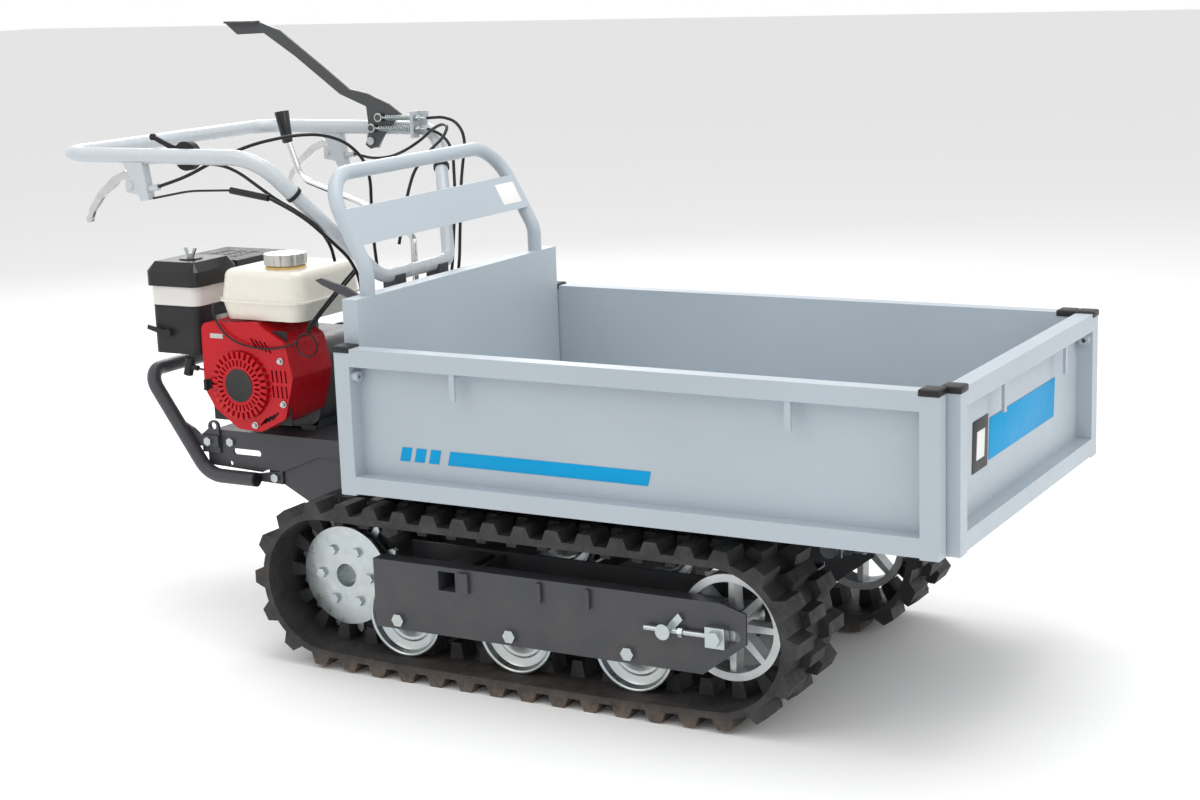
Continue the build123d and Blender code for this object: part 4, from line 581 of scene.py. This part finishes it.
starter = drum("starter_cover", (CRANK[0], COWL_FACE - 4, CRANK[1]), STARTER_R, STARTER_DEPTH, "Y", 96)
stepped(starter, (0, -1, 0), STARTER_STEPS)
bevelled(starter, 0.8, 2, 25)
outer_rays = [ray_slit(57, 13, 5.2, k * 360 / RAYS) for k in range(RAYS)]
inner_rays = [ray_slit(42.5, 12, 3.4, (k + 0.5) * 360 / RAYS) for k in range(RAYS)]
cut(starter, outer_rays + inner_rays)
done(starter, "chassis", "engine_red", None, ("recoil_cover",))

backing = drum("starter_backing", (CRANK[0], COWL_FACE + 4, CRANK[1]), 62, 3, "Y", 64)
stepped(backing, (0, -1, 0), ((20, -1), (10, 1)))
done(bevelled(backing, 0.5, 2), "chassis", "black_plastic")

badge = drum("starter_disc", (CRANK[0], COWL_FACE - 8.4, CRANK[1]), BADGE_R, 2.2, "Y", 64)
stepped(badge, (0, -1, 0), ((1.5, 0.4), (1.2, -0.5)))
done(bevelled(badge, 0.4, 2, 20), "chassis", "black_gloss")


def cap_screw(name, x, y, z, r):
    """A flanged hexagon screw with a dimpled head, facing the near side."""
    flange = drum("flange", (x, y - 1, z), r * 1.35, 2, "Y", 40)
    stepped(flange, (0, -1, 0), ((1.2, 0.6),))
    head = drum("head", (x, y - 4, z), r, 5, "Y", 6)
    stepped(head, (0, -1, 0), ((1.0, 0.6), (1.8, -1.2)))
    screw = joined(name, [bevelled(flange, 0.4, 2), bevelled(head, 0.4, 2)])
    return done(screw, "chassis", "zinc")


for index, (x, z) in enumerate(((-785, 507), (-852, 383), (-784, 427))):
    cap_screw(f"cowl_screw_{index}", x, COWL_FACE, z, r=5)
plate = bar("cowl_plate", (-944, -914), (COWL_FACE - 0.8, COWL_FACE), (541, 550))
stepped(plate, (0, -1, 0), ((1.2, -0.3),))
done(bevelled(plate, 0.3, 2), "chassis", "cap_metal")


def tube_along(name, points, r, order=3, sides=4):
    """A round wire or cable on one smooth curve, made a mesh."""
    curve = bpy.data.curves.new(name, "CURVE")
    curve.dimensions = "3D"
    curve.bevel_depth = r / 1000
    curve.bevel_resolution = sides
    curve.use_fill_caps = True
    line = curve.splines.new("NURBS")
    line.points.add(len(points) - 1)
    for point, place in zip(line.points, points):
        point.co = (*datum(*place), 1)
    line.order_u = order
    line.use_endpoint_u = True
    line.resolution_u = 8
    piece = bpy.data.objects.new(name, curve)
    bpy.context.collection.objects.link(piece)
    alone(piece)
    bpy.ops.object.convert(target="MESH")
    piece = bpy.context.object
    bpy.ops.object.shade_smooth()
    return piece


STOP_WIRE = [(-940, -180, 604), (-936, -189, 596), (-925, -194, 574), (-906, -196, 552), (-880, -197, 538),
             (-848, -197, 531), (-812, -197, 529), (-778, -197, 533), (-752, -195, 541), (-742, -193, 545)]
STOP_WIRE_R, ENGINE_WIRE_R = 1.9, 2.3
done(tube_along("stop_wire", STOP_WIRE, STOP_WIRE_R), "chassis", "cable_sheath")
bpy.ops.object.select_all(action="DESELECT")
bpy.ops.mesh.primitive_torus_add(major_radius=0.0205, minor_radius=0.0017, major_segments=48, minor_segments=10,
                                 location=datum(-722, -192, 541), rotation=(pi / 2, 0, radians(10)))
loop = bpy.context.object
loop.name = "wire_loop"
bpy.ops.object.transform_apply(location=True, rotation=True, scale=True)
done(loop, "chassis", "cable_sheath")
for index, lift in enumerate((0, 7)):
    path = [(-724, -186, 560 + lift), (-712, -182, 578 + lift), (-694, -170, 604 + lift),
            (-668, -150, 640 + lift), (-650, -128, 668 + lift)]
    done(tube_along(f"engine_wire_{index}", path, ENGINE_WIRE_R), "chassis", "cable_sheath")

gasket = drum("cap_gasket", (-815, -118, 669.5), 37, 4, "Z", 64)
stepped(gasket, (0, 0, 1), ((2, 0.5), (3, 0.2)))
done(bevelled(gasket, 0.5, 2), "chassis", "tank_paint", paint("fuel stain", (0.75, 0.5, 0.16), 0.4))

# ------------------------------------------------------------------ clutch springs

EYES = ((-858, 908), (-876, 887))
SPRING_Y = 263
ANCHOR_X = -744       # where the rods meet the fixed bracket
NUT_X = -766


def coil(name, x_start, x_end, y, z, r, turns, gauge):
    """A wound spring along X, with closed ends."""
    steps = turns * 8
    points = [(x_start + (x_end - x_start) * k / steps, y + r * cos(k * pi / 4), z + r * sin(k * pi / 4))
              for k in range(steps + 1)]
    return tube_along(name, points, gauge, 3, 2)


rods = []
for index, (x, z) in enumerate(EYES):
    eye = drum("eye", (x, SPRING_Y, z), 9, 7, "Y", 32)
    stepped(eye, (0, -1, 0), ((3, 0.4), (1, -1)))
    stem = drum("stem", ((x + ANCHOR_X) / 2, SPRING_Y, z), 2.3, ANCHOR_X - x - 8, "X", 16)
    nut = drum("nut", (NUT_X, SPRING_Y, z), 6.5, 9, "X", 6)
    stepped(nut, (1, 0, 0), ((1, 0.5),))
    rods += [bevelled(eye, 0.4, 2), bevelled(stem, 0.3, 2), bevelled(nut, 0.4, 2),
             coil("coil", x + 18, -782, SPRING_Y, z, 5.0, 13, 1.15)]
springs = joined("clutch_spring_rods", rods)
alone(springs)
springs.data.materials.clear()
springs.data.materials.append(SKINS["zinc"])
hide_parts("clutch_springs")
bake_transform(springs)

# ------------------------------------------------------------------ stage, light and camera

bpy.ops.object.select_all(action="DESELECT")
bpy.ops.mesh.primitive_plane_add(size=60, location=(0, 0, -0.0005))
floor = bpy.context.object
floor.name = "studio_floor"
floor_paint, tree, shader, place = start("studio floor")
shader.inputs["Base Color"].default_value = (0.92, 0.92, 0.92, 1)
shader.inputs["Roughness"].default_value = 0.7
floor.data.materials.append(floor_paint)

world = bpy.data.worlds.new("studio")
bpy.context.scene.world = world
world.use_nodes = True
tree = world.node_tree
sky_way = tree.nodes.new("ShaderNodeTexCoord").outputs["Generated"]
sky = between(tree, axis_of(tree, sky_way, "Z"), 0.12, 0.65, 1.0, 0.8)   # a little darker overhead
wire(tree, sky, tree.nodes["Background"].inputs["Strength"])
tree.nodes["Background"].inputs["Color"].default_value = (1, 1, 1, 1)


def softbox(name, place, aim, size, power):
    light = bpy.data.lights.new(name, "AREA")
    light.shape = "RECTANGLE"
    light.size, light.size_y = size
    light.energy = power
    lamp = bpy.data.objects.new(name, light)
    lamp.location = place
    lamp.rotation_euler = (Vector(aim) - Vector(place)).to_track_quat("-Z", "Y").to_euler()
    bpy.context.collection.objects.link(lamp)


softbox("key", (-1.6, -3.2, 3.4), (0, 0, 0.4), (2.6, 2.0), 26)
softbox("front", (3.6, -0.8, 2.2), (0.4, 0, 0.4), (2.0, 2.0), 24)
softbox("overhead", (0.2, 0.2, 4.2), (0, 0, 0), (3.5, 2.5), 80)
softbox("rear", (-2.5, 3.0, 2.6), (0, 0, 0.6), (2.0, 1.6), 50)

CAMERA_AT = (1574.5, -3191.9, 1218.4)
CAMERA_AIM = (-0.4814, 0.8514, -0.2083)
CAMERA_ROLL = -2.011
CAMERA_LENS = 63.525

camera = bpy.data.cameras.new("camera")
camera.sensor_width = 36.0
camera.lens = CAMERA_LENS
camera.clip_end = 100
viewer = bpy.data.objects.new("camera", camera)
ahead = Vector(CAMERA_AIM).normalized()
right = ahead.cross(Vector((0, 0, 1))).normalized()
above = right.cross(ahead)
roll = radians(CAMERA_ROLL)
right_turned = right * cos(roll) + above * sin(roll)
above_turned = above * cos(roll) - right * sin(roll)
turn = Matrix((right_turned, above_turned, -ahead)).transposed().to_4x4()
viewer.matrix_world = Matrix.Translation(datum(*CAMERA_AT)) @ turn
bpy.context.collection.objects.link(viewer)
bpy.context.scene.camera = viewer
bpy.context.scene.view_settings.view_transform = "Standard"
